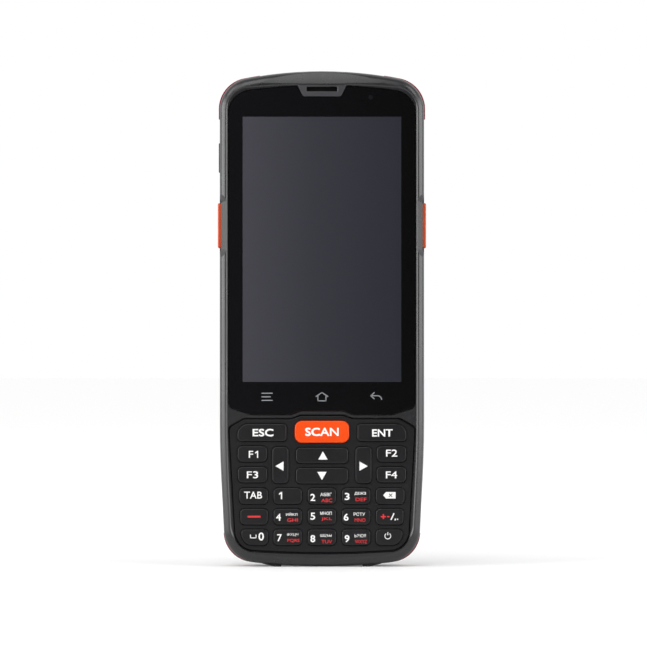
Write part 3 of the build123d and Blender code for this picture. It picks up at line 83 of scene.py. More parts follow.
def add_node(
    tree: bpy.types.NodeTree, kind: str, settings: dict | None = None, links: dict | None = None
) -> bpy.types.Node:
    """Add a shader node with its settings and links.

    Args:
        tree: node tree of the material or world.
        kind: Blender's name of the node type, without "ShaderNode".
        settings: attributes of the node, values of its inputs by name or number, and for
            a colour ramp "stops", a list of positions and linear colours.
        links: sockets to link from, by the name or number of the input.

    Returns:
        The new node.
    """
    node = tree.nodes.new("ShaderNode" + kind)
    for name, value in (settings or {}).items():
        if name == "stops":
            elements = node.color_ramp.elements
            elements[0].position, elements[0].color = value[0]
            elements[-1].position, elements[-1].color = value[-1]
            for position, colour in value[1:-1]:
                elements.new(position).color = colour
        elif isinstance(name, str) and hasattr(node, name):
            setattr(node, name, value)
        else:
            node.inputs[name].default_value = value
    for name, source in (links or {}).items():
        tree.links.new(source, node.inputs[name])
    return node


def new_material(name: str) -> tuple[bpy.types.Material, bpy.types.NodeTree, bpy.types.Node]:
    """Make an empty material.

    Args:
        name: plain name of the real material and process.

    Returns:
        The material, its node tree and its principled shader.
    """
    material = bpy.data.materials.new(name)
    material.use_nodes = True
    tree = material.node_tree
    tree.nodes.clear()
    shader = add_node(tree, "BsdfPrincipled")
    output = add_node(tree, "OutputMaterial")
    tree.links.new(shader.outputs["BSDF"], output.inputs["Surface"])
    return material, tree, shader


def grey(value: float) -> tuple[float, float, float, float]:
    """Linear grey of the given value."""
    return value, value, value, 1.0


def white_rays(
    tree: bpy.types.NodeTree, depth: bpy.types.NodeSocket, start: float, end: float
) -> bpy.types.NodeSocket:
    """Tell the rays that have to see plain white.

    Args:
        tree: node tree of the world or the floor.
        depth: place along Y that the ray comes from or hits.
        start: depth from which mirrored rays begin to count.
        end: depth from which they count in full.

    Returns:
        One for camera and transmission rays and for glossy rays behind the object, else zero.
    """
    path = add_node(tree, "LightPath").outputs
    seen = add_node(
        tree, "Math", {"operation": "MAXIMUM"}, {0: path["Is Camera Ray"], 1: path["Is Transmission Ray"]}
    ).outputs[0]
    behind = add_node(tree, "MapRange", {"From Min": start, "From Max": end}, {"Value": depth}).outputs["Result"]
    mirrored = add_node(tree, "Math", {"operation": "MULTIPLY"}, {0: behind, 1: path["Is Glossy Ray"]}).outputs[0]
    return add_node(tree, "Math", {"operation": "MAXIMUM"}, {0: seen, 1: mirrored}).outputs[0]


# ---------------------------------------------------------------- finishes
@dataclass(frozen=True)
class Finish:
    """A moulded, painted or plated surface with a fine grain of a real size."""

    name: str
    colour: str
    worn_colour: str
    roughness: float
    grain_mm: float
    grain_depth_mm: float
    cloud_mm: float = 14.0
    metallic: float = 0.0
    coat: float = 0.0
    coat_roughness: float = 0.1
    ior: float = 1.5
    speckle: float = 0.86

    def build(self) -> bpy.types.Material:
        """Build the material: colour clouds, grain in the bump and patches of roughness.

        Returns:
            The material.
        """
        material, tree, shader = new_material(self.name)
        place = add_node(tree, "TexCoord").outputs["Object"]
        clouds = add_node(
            tree, "TexNoise", {"Scale": 1 / (self.cloud_mm * MM), "Detail": 4.0, "Roughness": 0.6}, {"Vector": place}
        ).outputs["Fac"]
        grain = add_node(
            tree, "TexNoise", {"Scale": 1 / (self.grain_mm * MM), "Detail": 2.0, "Roughness": 0.55}, {"Vector": place}
        ).outputs["Fac"]
        colours = [(0.35, linear(self.colour)), (0.75, linear(self.worn_colour))]
        colour = add_node(tree, "ValToRGB", {"stops": colours}, {"Fac": clouds}).outputs["Color"]
        shades = [(0.3, grey(self.speckle)), (0.7, grey(1.0))]
        specks = add_node(tree, "ValToRGB", {"stops": shades}, {"Fac": grain}).outputs["Color"]
        mixed = add_node(
            tree, "Mix", {"data_type": "RGBA", "blend_type": "MULTIPLY", "Factor": 1.0}, {6: colour, 7: specks}
        )
        tree.links.new(mixed.outputs[2], shader.inputs["Base Color"])
        levels = [(0.3, grey(self.roughness - 0.04)), (0.8, grey(self.roughness + 0.05))]
        patches = add_node(tree, "ValToRGB", {"stops": levels}, {"Fac": clouds}).outputs["Color"]
        tree.links.new(patches, shader.inputs["Roughness"])
        bump = add_node(tree, "Bump", {"Strength": 1.0, "Distance": self.grain_depth_mm * MM}, {"Height": grain})
        tree.links.new(bump.outputs["Normal"], shader.inputs["Normal"])
        shader.inputs["Metallic"].default_value = self.metallic
        shader.inputs["Coat Weight"].default_value = self.coat
        shader.inputs["Coat Roughness"].default_value = self.coat_roughness
        if not self.metallic:
            shader.inputs["IOR"].default_value = self.ior
        return material


@dataclass(frozen=True)
class BondedGlass:
    """Float glass printed black behind, bonded to the display.

    To the eye: a deep black border that mirrors softly, round a smoky grey display area with a
    crisp edge; both carry a painted reflection, lighter on the left and darker on the right.
    """

    name: str = "cover_glass_printed_black"
    half_width_mm: float = 25.58
    bottom_mm: float = 59.65
    top_mm: float = 145.2
    # Painted reflection: each zone runs from a lighter colour on the left to a darker one on the right, as if the
    # light from the left mirrored in the glass.
    border_reflection_left: str = "#0b0a0d"
    border_reflection_right: str = "#030304"
    area_reflection_left: str = "#434249"
    area_reflection_middle: str = "#34343b"
    area_reflection_right: str = "#272830"
    roughness: float = 0.15
    reflection: float = 0.25
    coat_roughness: float = 0.03
    coat_ior: float = 1.38

    def build(self) -> bpy.types.Material:
        """Build the material; the border and the display area are told apart by their place, and both are painted
        lighter on the left as a painted reflection.

        Returns:
            The material.
        """
        material, tree, shader = new_material(self.name)
        place = add_node(tree, "TexCoord").outputs["Object"]
        axes = add_node(tree, "SeparateXYZ", links={"Vector": place})
        inside = []
        for axis, low, high in (("X", -self.half_width_mm, self.half_width_mm), ("Z", self.bottom_mm, self.top_mm)):
            span = {"operation": "COMPARE", 1: (low + high) / 2 * MM, 2: (high - low) / 2 * MM}
            inside.append(add_node(tree, "Math", span, {0: axes.outputs[axis]}).outputs[0])
        display_area = add_node(tree, "Math", {"operation": "MULTIPLY"}, {0: inside[0], 1: inside[1]}).outputs[0]
        # Painted reflection: the colours run across X, lighter on the left.
        edges = {"From Min": -0.03, "From Max": 0.03}
        across = add_node(tree, "MapRange", edges, {"Value": axes.outputs["X"]}).outputs["Result"]
        area_reflection_stops = [(0.0, self.area_reflection_left), (0.45, self.area_reflection_middle), (1.0, self.area_reflection_right)]
        border_reflection_stops = [(0.0, self.border_reflection_left), (1.0, self.border_reflection_right)]
        area, border = (
            add_node(
                tree, "ValToRGB", {"stops": [(spot, linear(colour)) for spot, colour in stops]}, {"Fac": across}
            ).outputs["Color"]
            for stops in (area_reflection_stops, border_reflection_stops)
        )
        mixed = add_node(tree, "Mix", {"data_type": "RGBA"}, {"Factor": display_area, 6: border, 7: area})
        tree.links.new(mixed.outputs[2], shader.inputs["Base Color"])
        shader.inputs["Roughness"].default_value = self.roughness
        shader.inputs["Specular IOR Level"].default_value = self.reflection
        shader.inputs["Coat Weight"].default_value = 1.0
        shader.inputs["Coat Roughness"].default_value = self.coat_roughness
        shader.inputs["Coat IOR"].default_value = self.coat_ior
        return material


@dataclass(frozen=True)
class WovenMesh:
    """Woven steel wire, blackened.

    To the eye: near black, hardly a glint on the wires. The real pitch of 0.1 mm is too
    fine to show, so it is drawn at 0.35 mm.
    """

    name: str = "woven_steel_mesh_blackened"
    pitch_mm: float = 0.35
    wire: str = "#0e0e10"
    gap: str = "#020202"
    wire_relief_mm: float = 0.08
    roughness: float = 0.7
    reflection: float = 0.1

    def build(self) -> bpy.types.Material:
        """Build the material from two crossed wave patterns.

        Returns:
            The material.
        """
        material, tree, shader = new_material(self.name)
        place = add_node(tree, "TexCoord").outputs["Object"]
        bands = [
            add_node(
                tree, "TexWave",
                {"bands_direction": direction, "Scale": WAVE_LENGTH / (self.pitch_mm * MM), "Distortion": 0.0},
                {"Vector": place},
            ).outputs["Fac"]
            for direction in ("X", "Z")
        ]
        weave = add_node(tree, "Math", {"operation": "MAXIMUM"}, {0: bands[0], 1: bands[1]}).outputs[0]
        stops = [(0.55, linear(self.gap)), (0.9, linear(self.wire))]
        colour = add_node(tree, "ValToRGB", {"stops": stops}, {"Fac": weave}).outputs["Color"]
        tree.links.new(colour, shader.inputs["Base Color"])
        bump = add_node(tree, "Bump", {"Distance": self.wire_relief_mm * MM}, {"Height": weave})
        tree.links.new(bump.outputs["Normal"], shader.inputs["Normal"])
        shader.inputs["Roughness"].default_value = self.roughness
        shader.inputs["Specular IOR Level"].default_value = self.reflection
        return material


@dataclass(frozen=True)
class BoardMask:
    """Glass epoxy board under green solder mask.

    To the eye: glossy dark green, with copper tracks showing through as lighter lines.
    """

    name: str = "glass_epoxy_green_mask"
    mask: str = "#0d4a25"
    track: str = "#1c6b39"
    track_mm: float = 1.4
    track_relief_mm: float = 0.03
    roughness: float = 0.32

    def build(self) -> bpy.types.Material:
        """Build the material from square cells in two tones.

        Returns:
            The material.
        """
        material, tree, shader = new_material(self.name)
        place = add_node(tree, "TexCoord").outputs["Object"]
        pattern = {"distance": "CHEBYCHEV", "feature": "F1", "Scale": 1 / (self.track_mm * MM), "Randomness": 0.8}
        cells = add_node(tree, "TexVoronoi", pattern, {"Vector": place}).outputs["Distance"]
        stops = [(0.35, linear(self.mask)), (0.42, linear(self.track))]
        colour = add_node(tree, "ValToRGB", {"stops": stops}, {"Fac": cells}).outputs["Color"]
        tree.links.new(colour, shader.inputs["Base Color"])
        bump = add_node(tree, "Bump", {"Distance": self.track_relief_mm * MM}, {"Height": cells})
        tree.links.new(bump.outputs["Normal"], shader.inputs["Normal"])
        shader.inputs["Roughness"].default_value = self.roughness
        return material


@dataclass(frozen=True)
class ClearWindow:
    """Clear acrylic with a hard coating.

    To the eye: see-through with a crisp mirror shine, dimmed here and there by finger marks.
    """

    name: str = "acrylic_window_clear_hard_coat"
    tint: str = "#e6ecf0"
    marks_mm: float = 2.5
    clean_roughness: float = 0.02
    marked_roughness: float = 0.12
    ior: float = 1.49

    def build(self) -> bpy.types.Material:
        """Build the material; finger marks show as patches of roughness.

        Returns:
            The material.
        """
        material, tree, shader = new_material(self.name)
        place = add_node(tree, "TexCoord").outputs["Object"]
        marks = add_node(
            tree, "TexNoise", {"Scale": 1 / (self.marks_mm * MM), "Detail": 3.0}, {"Vector": place}
        ).outputs["Fac"]
        levels = [(0.45, grey(self.clean_roughness)), (0.75, grey(self.marked_roughness))]
        smears = add_node(tree, "ValToRGB", {"stops": levels}, {"Fac": marks}).outputs["Color"]
        tree.links.new(smears, shader.inputs["Roughness"])
        shader.inputs["Base Color"].default_value = linear(self.tint)
        shader.inputs["Transmission Weight"].default_value = 1.0
        shader.inputs["IOR"].default_value = self.ior
        return material


class Ink(Enum):
    """Printed inks: legend colours on the keys and the glass."""

    WHITE = "#f8f8f6"
    RED = "#e03034"
    SILVER = "#85888c"
    SMOKE = "#100f12"
    BLACK = "#08080a"


# Spark-eroded mould: an even, satin dark grey that lights up along the rounded rim.
HOUSING = Finish("abs_dark_grey_spark_texture", "#1e1e20", "#242426", 0.29, 0.30, 0.005, ior=1.58)
# Polished mould edge round the earpiece: a lighter, satin grey whose chamfers glint.
SURROUND = Finish("abs_grey_satin_moulded", "#3e3e41", "#444447", 0.33, 0.3, 0.004, ior=1.5)
# Coarser mould texture for the hand: duller, with visible grain in slanting light.
REAR = Finish("abs_dark_grey_coarse_texture", "#323234", "#3a3a3c", 0.52, 0.55, 0.030)
# Soft-touch paint: velvety near black that hardly mirrors.
PANEL = Finish("abs_black_soft_touch_paint", "#151416", "#1a191b", 0.36, 0.22, 0.005, ior=1.4)
# Satin moulded caps: near black, with a thin glint round each rounded edge.
KEYCAP = Finish("abs_black_satin_key_cap", "#151416", "#1a191b", 0.32, 0.25, 0.005, ior=1.4)
# Bright moulded orange, satin.
SCAN_KEY = Finish("abs_orange_satin_key_cap", "#f54a02", "#fa5208", 0.34, 0.25, 0.005, ior=1.4)
# The scan key's orange, matt, and painted darker: painted shade of the side faces that the triggers sit on.
TRIGGER_SHADED = Finish("abs_orange_matt_trigger_painted_shade", "#c24418", "#ca5224", 0.45, 0.3, 0.01)
# Overmoulded elastomer: deep red, matt, slightly chalky.
BUMPER = Finish("elastomer_dark_red_moulded", "#84182a", "#902236", 0.62, 0.4, 0.02)
# Plain black mouldings with a dull, slightly greasy sheen.
LATCH = Finish("abs_black_matt_moulded", "#262628", "#303032", 0.48, 0.3, 0.012)
# Moulded rubber: flat black without a highlight.
RUBBER = Finish("rubber_black_moulded", "#1b1b1c", "#262627", 0.70, 0.4, 0.02)
# Milky grey silicone, soft sheen.
SILICONE = Finish("silicone_grey_moulded", "#4a4a4c", "#58585a", 0.6, 0.5, 0.01)
# Black zinc plating: dark metal with small bright scratches.
STEEL = Finish("steel_black_zinc", "#3a3a3d", "#58585c", 0.34, 0.5, 0.004, metallic=0.9)
# Drawn stainless shell: bright, slightly streaky metal.
SHELL = Finish("stainless_drawn_shell", "#a9abae", "#c4c6c8", 0.28, 0.6, 0.003, metallic=1.0)
# Rolled sheet as it comes off the press: pale, softly mirroring metal.
CHASSIS = Finish("aluminium_sheet_stamped", "#b4b6b8", "#c8cacc", 0.36, 0.8, 0.004, metallic=1.0)
# Gold over spring alloy: warm, bright and smooth.
GOLD = Finish("spring_alloy_gold_plated", "#d0a24c", "#e0b766", 0.25, 0.3, 0.002, metallic=1.0)
# Optics housing: dead black, so that no stray light shows.
OPTICS = Finish("abs_black_optics_housing", "#161617", "#202021", 0.5, 0.3, 0.008)
# Battery shell: black satin moulding.
WRAP = Finish("battery_shell_black_moulded", "#232325", "#2d2d2f", 0.45, 0.5, 0.012)
# Dyed acrylic: looks black with a red depth and a wet gloss.
WINDOW = Finish("acrylic_window_dark_red_tint", "#1b0406", "#220709", 0.12, 4.0, 0.001, coat=1.0, coat_roughness=0.02)
# Coated lens glass: black with a hard, clear reflection.
LENS = Finish("lens_glass_coated", "#0a0a12", "#10101c", 0.08, 4.0, 0.001, coat=1.0, coat_roughness=0.02)
# Bare turned ring round the lens: grey satin metal.
BEZEL = Finish("aluminium_turned_anodised_grey", "#55575b", "#6a6c70", 0.30, 0.2, 0.002, metallic=1.0)
# Clear resin over yellow phosphor: pale yellow with a soft gloss.
PHOSPHOR = Finish("led_lens_over_phosphor", "#e4d98a", "#f0e8a8", 0.3, 0.4, 0.01, coat=0.6)
# Pad-printed white ink: opaque, slightly matt.
WHITE_INK = Finish("pad_print_white", Ink.WHITE.value, "#f0f0ee", 0.5, 0.3, 0.002, speckle=0.97)
# Pad-printed red ink: opaque, slightly matt.
RED_INK = Finish("pad_print_red", Ink.RED.value, "#d42a30", 0.5, 0.3, 0.002, speckle=0.95)
# Silver-grey screen print behind the glass.
SILVER_INK = Finish("screen_print_silver", Ink.SILVER.value, "#8d9094", 0.5, 0.3, 0.001, speckle=0.97)
# Smoked ink over the light sensor: hardly lighter than the border round it.
SMOKE_INK = Finish("screen_print_smoke", Ink.SMOKE.value, "#131216", 0.3, 0.3, 0.001, ior=1.3)
# Black border printed on the camera window: glossy where the coating covers it.
BORDER_INK = Finish("screen_print_black", Ink.BLACK.value, "#0c0c0e", 0.18, 0.3, 0.001, coat=0.5)


# ---------------------------------------------------------------- pieces
def mesh_from(source: bmesh.types.BMesh, name: str) -> bpy.types.Mesh:
    """Turn a bmesh into a mesh with outward normals and free it.

    Args:
        source: closed shape, in metres.
        name: name of the mesh.

    Returns:
        The new mesh.
    """
    bmesh.ops.recalc_face_normals(source, faces=source.faces)
    mesh = bpy.data.meshes.new(name)
    source.to_mesh(mesh)
    source.free()
    return mesh


def place_piece(
    mesh: bpy.types.Mesh, name: str, body: str, slot: str, *materials: bpy.types.Material
) -> bpy.types.Object:
    """Put a finished mesh into the scene as a piece.

    Args:
        mesh: mesh whose vertices are already in place, in metres.
        name: name of the piece.
        body: CAD body that it moves with.
        slot: material slot of the piece; not used.
        materials: materials of the piece, in the order of its material indices.

    Returns:
        The new object.
    """
    piece = bpy.data.objects.new(name, mesh)
    bpy.context.scene.collection.objects.link(piece)
    for material in materials:
        mesh.materials.append(material)
    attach(piece, body)
    log.info("piece %s on %s", name, body)
    return piece


def circle(radius: float, x: float, z: float, steps: int) -> list[tuple[float, float]]:
    """Points (x, z) round a circle, in millimetres."""
    return [(x + radius * math.cos(math.tau * i / steps), z + radius * math.sin(math.tau * i / steps))
            for i in range(steps)]


def dress(finish: bpy.types.Material, *names: str) -> None:
    """Give the named CAD nodes one finish.

    Args:
        finish: material of the nodes.
        names: nodes of the frame.
    """
    for name in names:
        node = NODES[name]
        node.data.materials.clear()
        node.data.materials.append(finish)
        log.info("node %s dressed with %s", name, finish.name)


@dataclass
class Print:
    """Flat printed marks lying on a face that looks to the front."""

    y_mm: float
    thickness_mm: float = 0.03
    shapes: list = field(default_factory=list)

    def text(self, words: str, x: float, z: float, cap: float, width: float, bold: float, ink: int = 0) -> None:
        """Add words of a given cap height and width, centred at x and z.

        Args:
            words: text to print.
            x: centre in millimetres.
            z: centre in millimetres.
            cap: height of the tallest letter in millimetres.
            width: width of the whole text in millimetres.
            bold: thickening of each side of the strokes, in millimetres.
            ink: material index.
        """
        curve = bpy.data.curves.new("legend_text", "FONT")
        curve.body = words
        curve.resolution_u = 3
        holder = bpy.data.objects.new("legend_text", curve)
        bpy.context.scene.collection.objects.link(holder)
        depsgraph = bpy.context.evaluated_depsgraph_get()
        flat = bpy.data.meshes.new_from_object(holder.evaluated_get(depsgraph))
        bpy.data.objects.remove(holder)
        bpy.data.curves.remove(curve)
        corners = [vertex.co for vertex in flat.vertices]
        low = Vector(min(c[i] for c in corners) for i in range(3))
        high = Vector(max(c[i] for c in corners) for i in range(3))
        grow = 2 * bold
        scale = Matrix.Diagonal(((width - grow) / (high.x - low.x), (cap - grow) / (high.y - low.y), 1.0, 1.0))
        upright = Matrix.Rotation(math.radians(90), 4, "X")
        move = Matrix.Translation((x, self.y_mm, z))
        flat.transform(Matrix.Scale(MM, 4) @ move @ upright @ scale @ Matrix.Translation(-(low + high) / 2))
        sheet = bmesh.new()
        sheet.from_mesh(flat)
        bpy.data.meshes.remove(flat)
        bmesh.ops.remove_doubles(sheet, verts=sheet.verts, dist=0.001 * MM)
        rim = bmesh.ops.inset_region(
            sheet, faces=sheet.faces, use_boundary=True, use_even_offset=False, thickness=-bold * MM
        )
        bmesh.ops.delete(sheet, geom=rim["faces"], context="FACES")
        self.raise_sheet(sheet, ink)

    def raise_sheet(self, sheet: bmesh.types.BMesh, ink: int) -> None:
        """Give a flat sheet the thickness of the print and keep it.

        Args:
            sheet: flat shape on the face.
            ink: material index.
        """
        raised = bmesh.ops.extrude_face_region(sheet, geom=list(sheet.faces))
        top = [item for item in raised["geom"] if isinstance(item, bmesh.types.BMVert)]
        bmesh.ops.translate(sheet, vec=(0, -self.thickness_mm * MM, 0), verts=top)
        self.add(mesh_from(sheet, "legend_shape"), ink)

    def outline(self, points: list[tuple[float, float]], ink: int = 0, holes: tuple = ()) -> None:
        """Add a filled shape with holes cut out, from corner points (x, z) in millimetres.

        Args:
            points: corners of the rim, in order.
            ink: material index.
            holes: corners of each hole.
        """
        shape = bmesh.new()
        edges = []
        for loop in (points, *holes):
            corners = [shape.verts.new((x * MM, self.y_mm * MM, z * MM)) for x, z in loop]
            edges += [shape.edges.new((corners[i - 1], corners[i])) for i in range(len(corners))]
        bmesh.ops.triangle_fill(shape, use_beauty=True, use_dissolve=False, edges=edges, normal=(0, -1, 0))
        self.raise_sheet(shape, ink)

    def stroke(self, start: tuple[float, float], end: tuple[float, float], width: float, ink: int = 0) -> None:
        """Add a straight bar from start to end.

        Args:
            start: middle of one end (x, z) in millimetres.
            end: middle of the other end.
            width: width of the bar in millimetres.
            ink: material index.
        """
        along = Vector((end[0] - start[0], end[1] - start[1])).normalized()
        side = Vector((-along.y, along.x)) * width / 2
        corners = [
            (start[0] + side.x, start[1] + side.y), (start[0] - side.x, start[1] - side.y),
            (end[0] - side.x, end[1] - side.y), (end[0] + side.x, end[1] + side.y),
        ]
        self.outline(corners, ink)

    def add(self, mesh: bpy.types.Mesh, ink: int) -> None:
        """Keep one printed shape with its ink.

        Args:
            mesh: shape to keep.
            ink: material index.
        """
        for face in mesh.polygons:
            face.material_index = ink
        self.shapes.append(mesh)

    def finish(self, name: str, body: str, slot: str, *inks: bpy.types.Material) -> bpy.types.Object:
        """Join all shapes to one piece that moves with body.

        Args:
            name: name of the piece.
            body: CAD body that it moves with.
            slot: material slot of the piece, passed on to place_piece.
            inks: materials by index.

        Returns:
            The new object.
        """
        joined = bmesh.new()
        for mesh in self.shapes:
            joined.from_mesh(mesh)
            bpy.data.meshes.remove(mesh)
        mesh = bpy.data.meshes.new(name)
        joined.to_mesh(mesh)
        joined.free()
        return place_piece(mesh, name, body, slot, *inks)


# ---------------------------------------------------------------- sub-assemblies
@dataclass
class Casing:
    """Front and rear housings with bumpers, feet, seal, screws and the earpiece's surround."""

    tab_low: tuple[float, float] = (6.1, 151.8)
    tab_high: tuple[float, float] = (7.8, 155.4)
    slot_half_width: float = 5.05
    slot_heights: tuple[float, float] = (153.4, 154.95)
    surround_rises: tuple[float, float, float] = (-9.78, -9.88, -10.0)
    surround_edge: float = 0.15
    tab_easing: tuple[float, float] = (0.7, 0.3)
    slot_easing: tuple[float, float] = (0.35, 0.35)

    def build(self) -> None:
        """Dress the casing's nodes and add the earpiece's surround."""
        self.surround()
        dress(HOUSING.build(), "front_housing")
        dress(REAR.build(), "rear_housing", "battery_cover")
        dress(BUMPER.build(), "corner_bumpers")
        rubber = RUBBER.build()
        dress(rubber, "standing_feet", "usb_flap")
        dress(SILICONE.build(), "perimeter_gasket", "keymat")
        dress(STEEL.build(), "housing_screws", "board_screws", "hinge_pin")
        dress(LATCH.build(), "cover_latch", "volume_rocker")
        # The triggers' orange is painted darker than the scan key's, as painted shade.
        dress(TRIGGER_SHADED.build(), "trigger_left", "trigger_right")

    def surround(self) -> None:
        """Raised moulding with chamfered edges round the earpiece's slot."""
        foot, shoulder, top = self.surround_rises
        edge = self.surround_edge
        lean = (self.tab_high[0] - self.tab_low[0]) / (self.tab_high[1] - self.tab_low[1])
        ring = bmesh.new()
        loops = []
        for depth, inset in ((foot, 0.0), (shoulder, 0.0), (top, edge)):
            across = inset * math.hypot(1.0, lean)
            low = (self.tab_low[0] + lean * inset - across, self.tab_low[1] + inset)
            high = (self.tab_high[0] - lean * inset - across, self.tab_high[1] - inset)
            loops.append(self.ease(ring, low, high, self.tab_easing, depth))
        for depth, grow in ((top, edge), (shoulder, 0.0), (foot, 0.0)):
            half = self.slot_half_width + grow
            low, high = (half, self.slot_heights[0] - grow), (half, self.slot_heights[1] + grow)
            loops.append(self.ease(ring, low, high, self.slot_easing, depth))
        for outer, inner in zip(loops, [*loops[1:], loops[0]]):
            bmesh.ops.bridge_loops(ring, edges=[*outer, *inner])
        mesh = mesh_from(ring, "earpiece_surround")
        place_piece(mesh, "earpiece_surround", "case", "housing_plastic", SURROUND.build())

    def ease(
        self, ring: bmesh.types.BMesh, low: tuple[float, float], high: tuple[float, float],
        radii: tuple[float, float], depth: float,
    ) -> list[bmesh.types.BMEdge]:
        """Add a closed loop of edges with four eased corners.

        Args:
            ring: mesh that receives the loop.
            low: lower right corner (x, z) in millimetres; the lower left one mirrors it.
            high: upper right corner (x, z) in millimetres.
            radii: length of the easing at the lower and the upper corners.
            depth: y of the loop in millimetres.

        Returns:
            The loop's edges.
        """
        corners = [Vector((-low[0], low[1])), Vector(low), Vector(high), Vector((-high[0], high[1]))]
        points = []
        for index, corner in enumerate(corners):
            reach = radii[index // 2]
            start = corner + (corners[index - 1] - corner).normalized() * reach
            end = corner + (corners[(index + 1) % 4] - corner).normalized() * reach
            for t in (step / 5 for step in range(6)):
                points.append(start * (1 - t) ** 2 + corner * 2 * t * (1 - t) + end * t ** 2)
        verts = [ring.verts.new((point.x * MM, depth * MM, point.y * MM)) for point in points]
        return [ring.edges.new((verts[i - 1], verts[i])) for i in range(len(verts))]


@dataclass
class Screen:
    """Bonded cover glass with its printed navigation marks and the light sensor."""

    icon_z: float = 54.85
    menu_x: float = -17.7
    home_x: float = 0.0
    back_x: float = 17.55
    line: float = 0.32
    sensor_x: float = 15.7
    sensor_z: float = 151.5
    sensor_radius: float = 0.75
    marks_mm: float = 0.02
    sensor_mm: float = 0.015

    def build(self) -> None:
        """Dress the glass and print its marks."""
        dress(BondedGlass().build(), "touch_glass")
        glass_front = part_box("touch_glass")[0].y / MM
        marks = Print(glass_front, self.marks_mm)
        self.menu(marks)
        self.home(marks)
        self.back(marks)
        marks.finish("glass_navigation_marks", "case", "cover_glass", SILVER_INK.build())
        sensor = Print(glass_front, self.sensor_mm)
        sensor.outline(circle(self.sensor_radius, self.sensor_x, self.sensor_z, 24))
        sensor.finish("light_sensor_window", "case", "cover_glass", SMOKE_INK.build())

    def menu(self, marks: Print) -> None:
        """Three stacked bars, the menu mark.

        Args:
            marks: print that receives the bars.
        """
        for rise, half in ((1.15, 1.8), (0.0, 1.5), (-1.15, 1.8)):
            shift = -0.3 if rise == 0.0 else 0.0
            start = (self.menu_x - half + shift, self.icon_z + rise)
            end = (self.menu_x + half + shift, self.icon_z + rise)
            marks.stroke(start, end, self.line)

    def home(self, marks: Print) -> None:
        """Roof, walls and door of the home mark.

        Args:
            marks: print that receives the bars.
        """
        x, z = self.home_x, self.icon_z
        marks.stroke((x - 2.0, z + 0.05), (x + 0.1, z + 1.45), self.line)
        marks.stroke((x + 2.0, z + 0.05), (x - 0.1, z + 1.45), self.line)
        marks.stroke((x - 1.3, z + 0.3), (x - 1.3, z - 1.4), self.line)
        marks.stroke((x + 1.3, z + 0.3), (x + 1.3, z - 1.4), self.line)
        marks.stroke((x - 1.45, z - 1.3), (x + 1.45, z - 1.3), self.line)

    def back(self, marks: Print) -> None:
        """Arrow that turns back to the left.

        Args:
            marks: print that receives the bars.
        """
        x, z = self.back_x, self.icon_z
        marks.stroke((x - 1.85, z + 0.35), (x - 0.6, z + 1.4), self.line)
        marks.stroke((x - 1.85, z + 0.35), (x - 0.6, z - 0.7), self.line)
        marks.stroke((x - 1.7, z + 0.35), (x + 0.4, z + 0.35), self.line)
        bend = [
            (x + 0.4 + 1.3 * math.sin(a), z - 0.95 + 1.3 * math.cos(a))
            for a in (math.radians(15 * i) for i in range(7))
        ]
        for start, end in zip(bend, bend[1:]):
            marks.stroke(start, end, self.line)


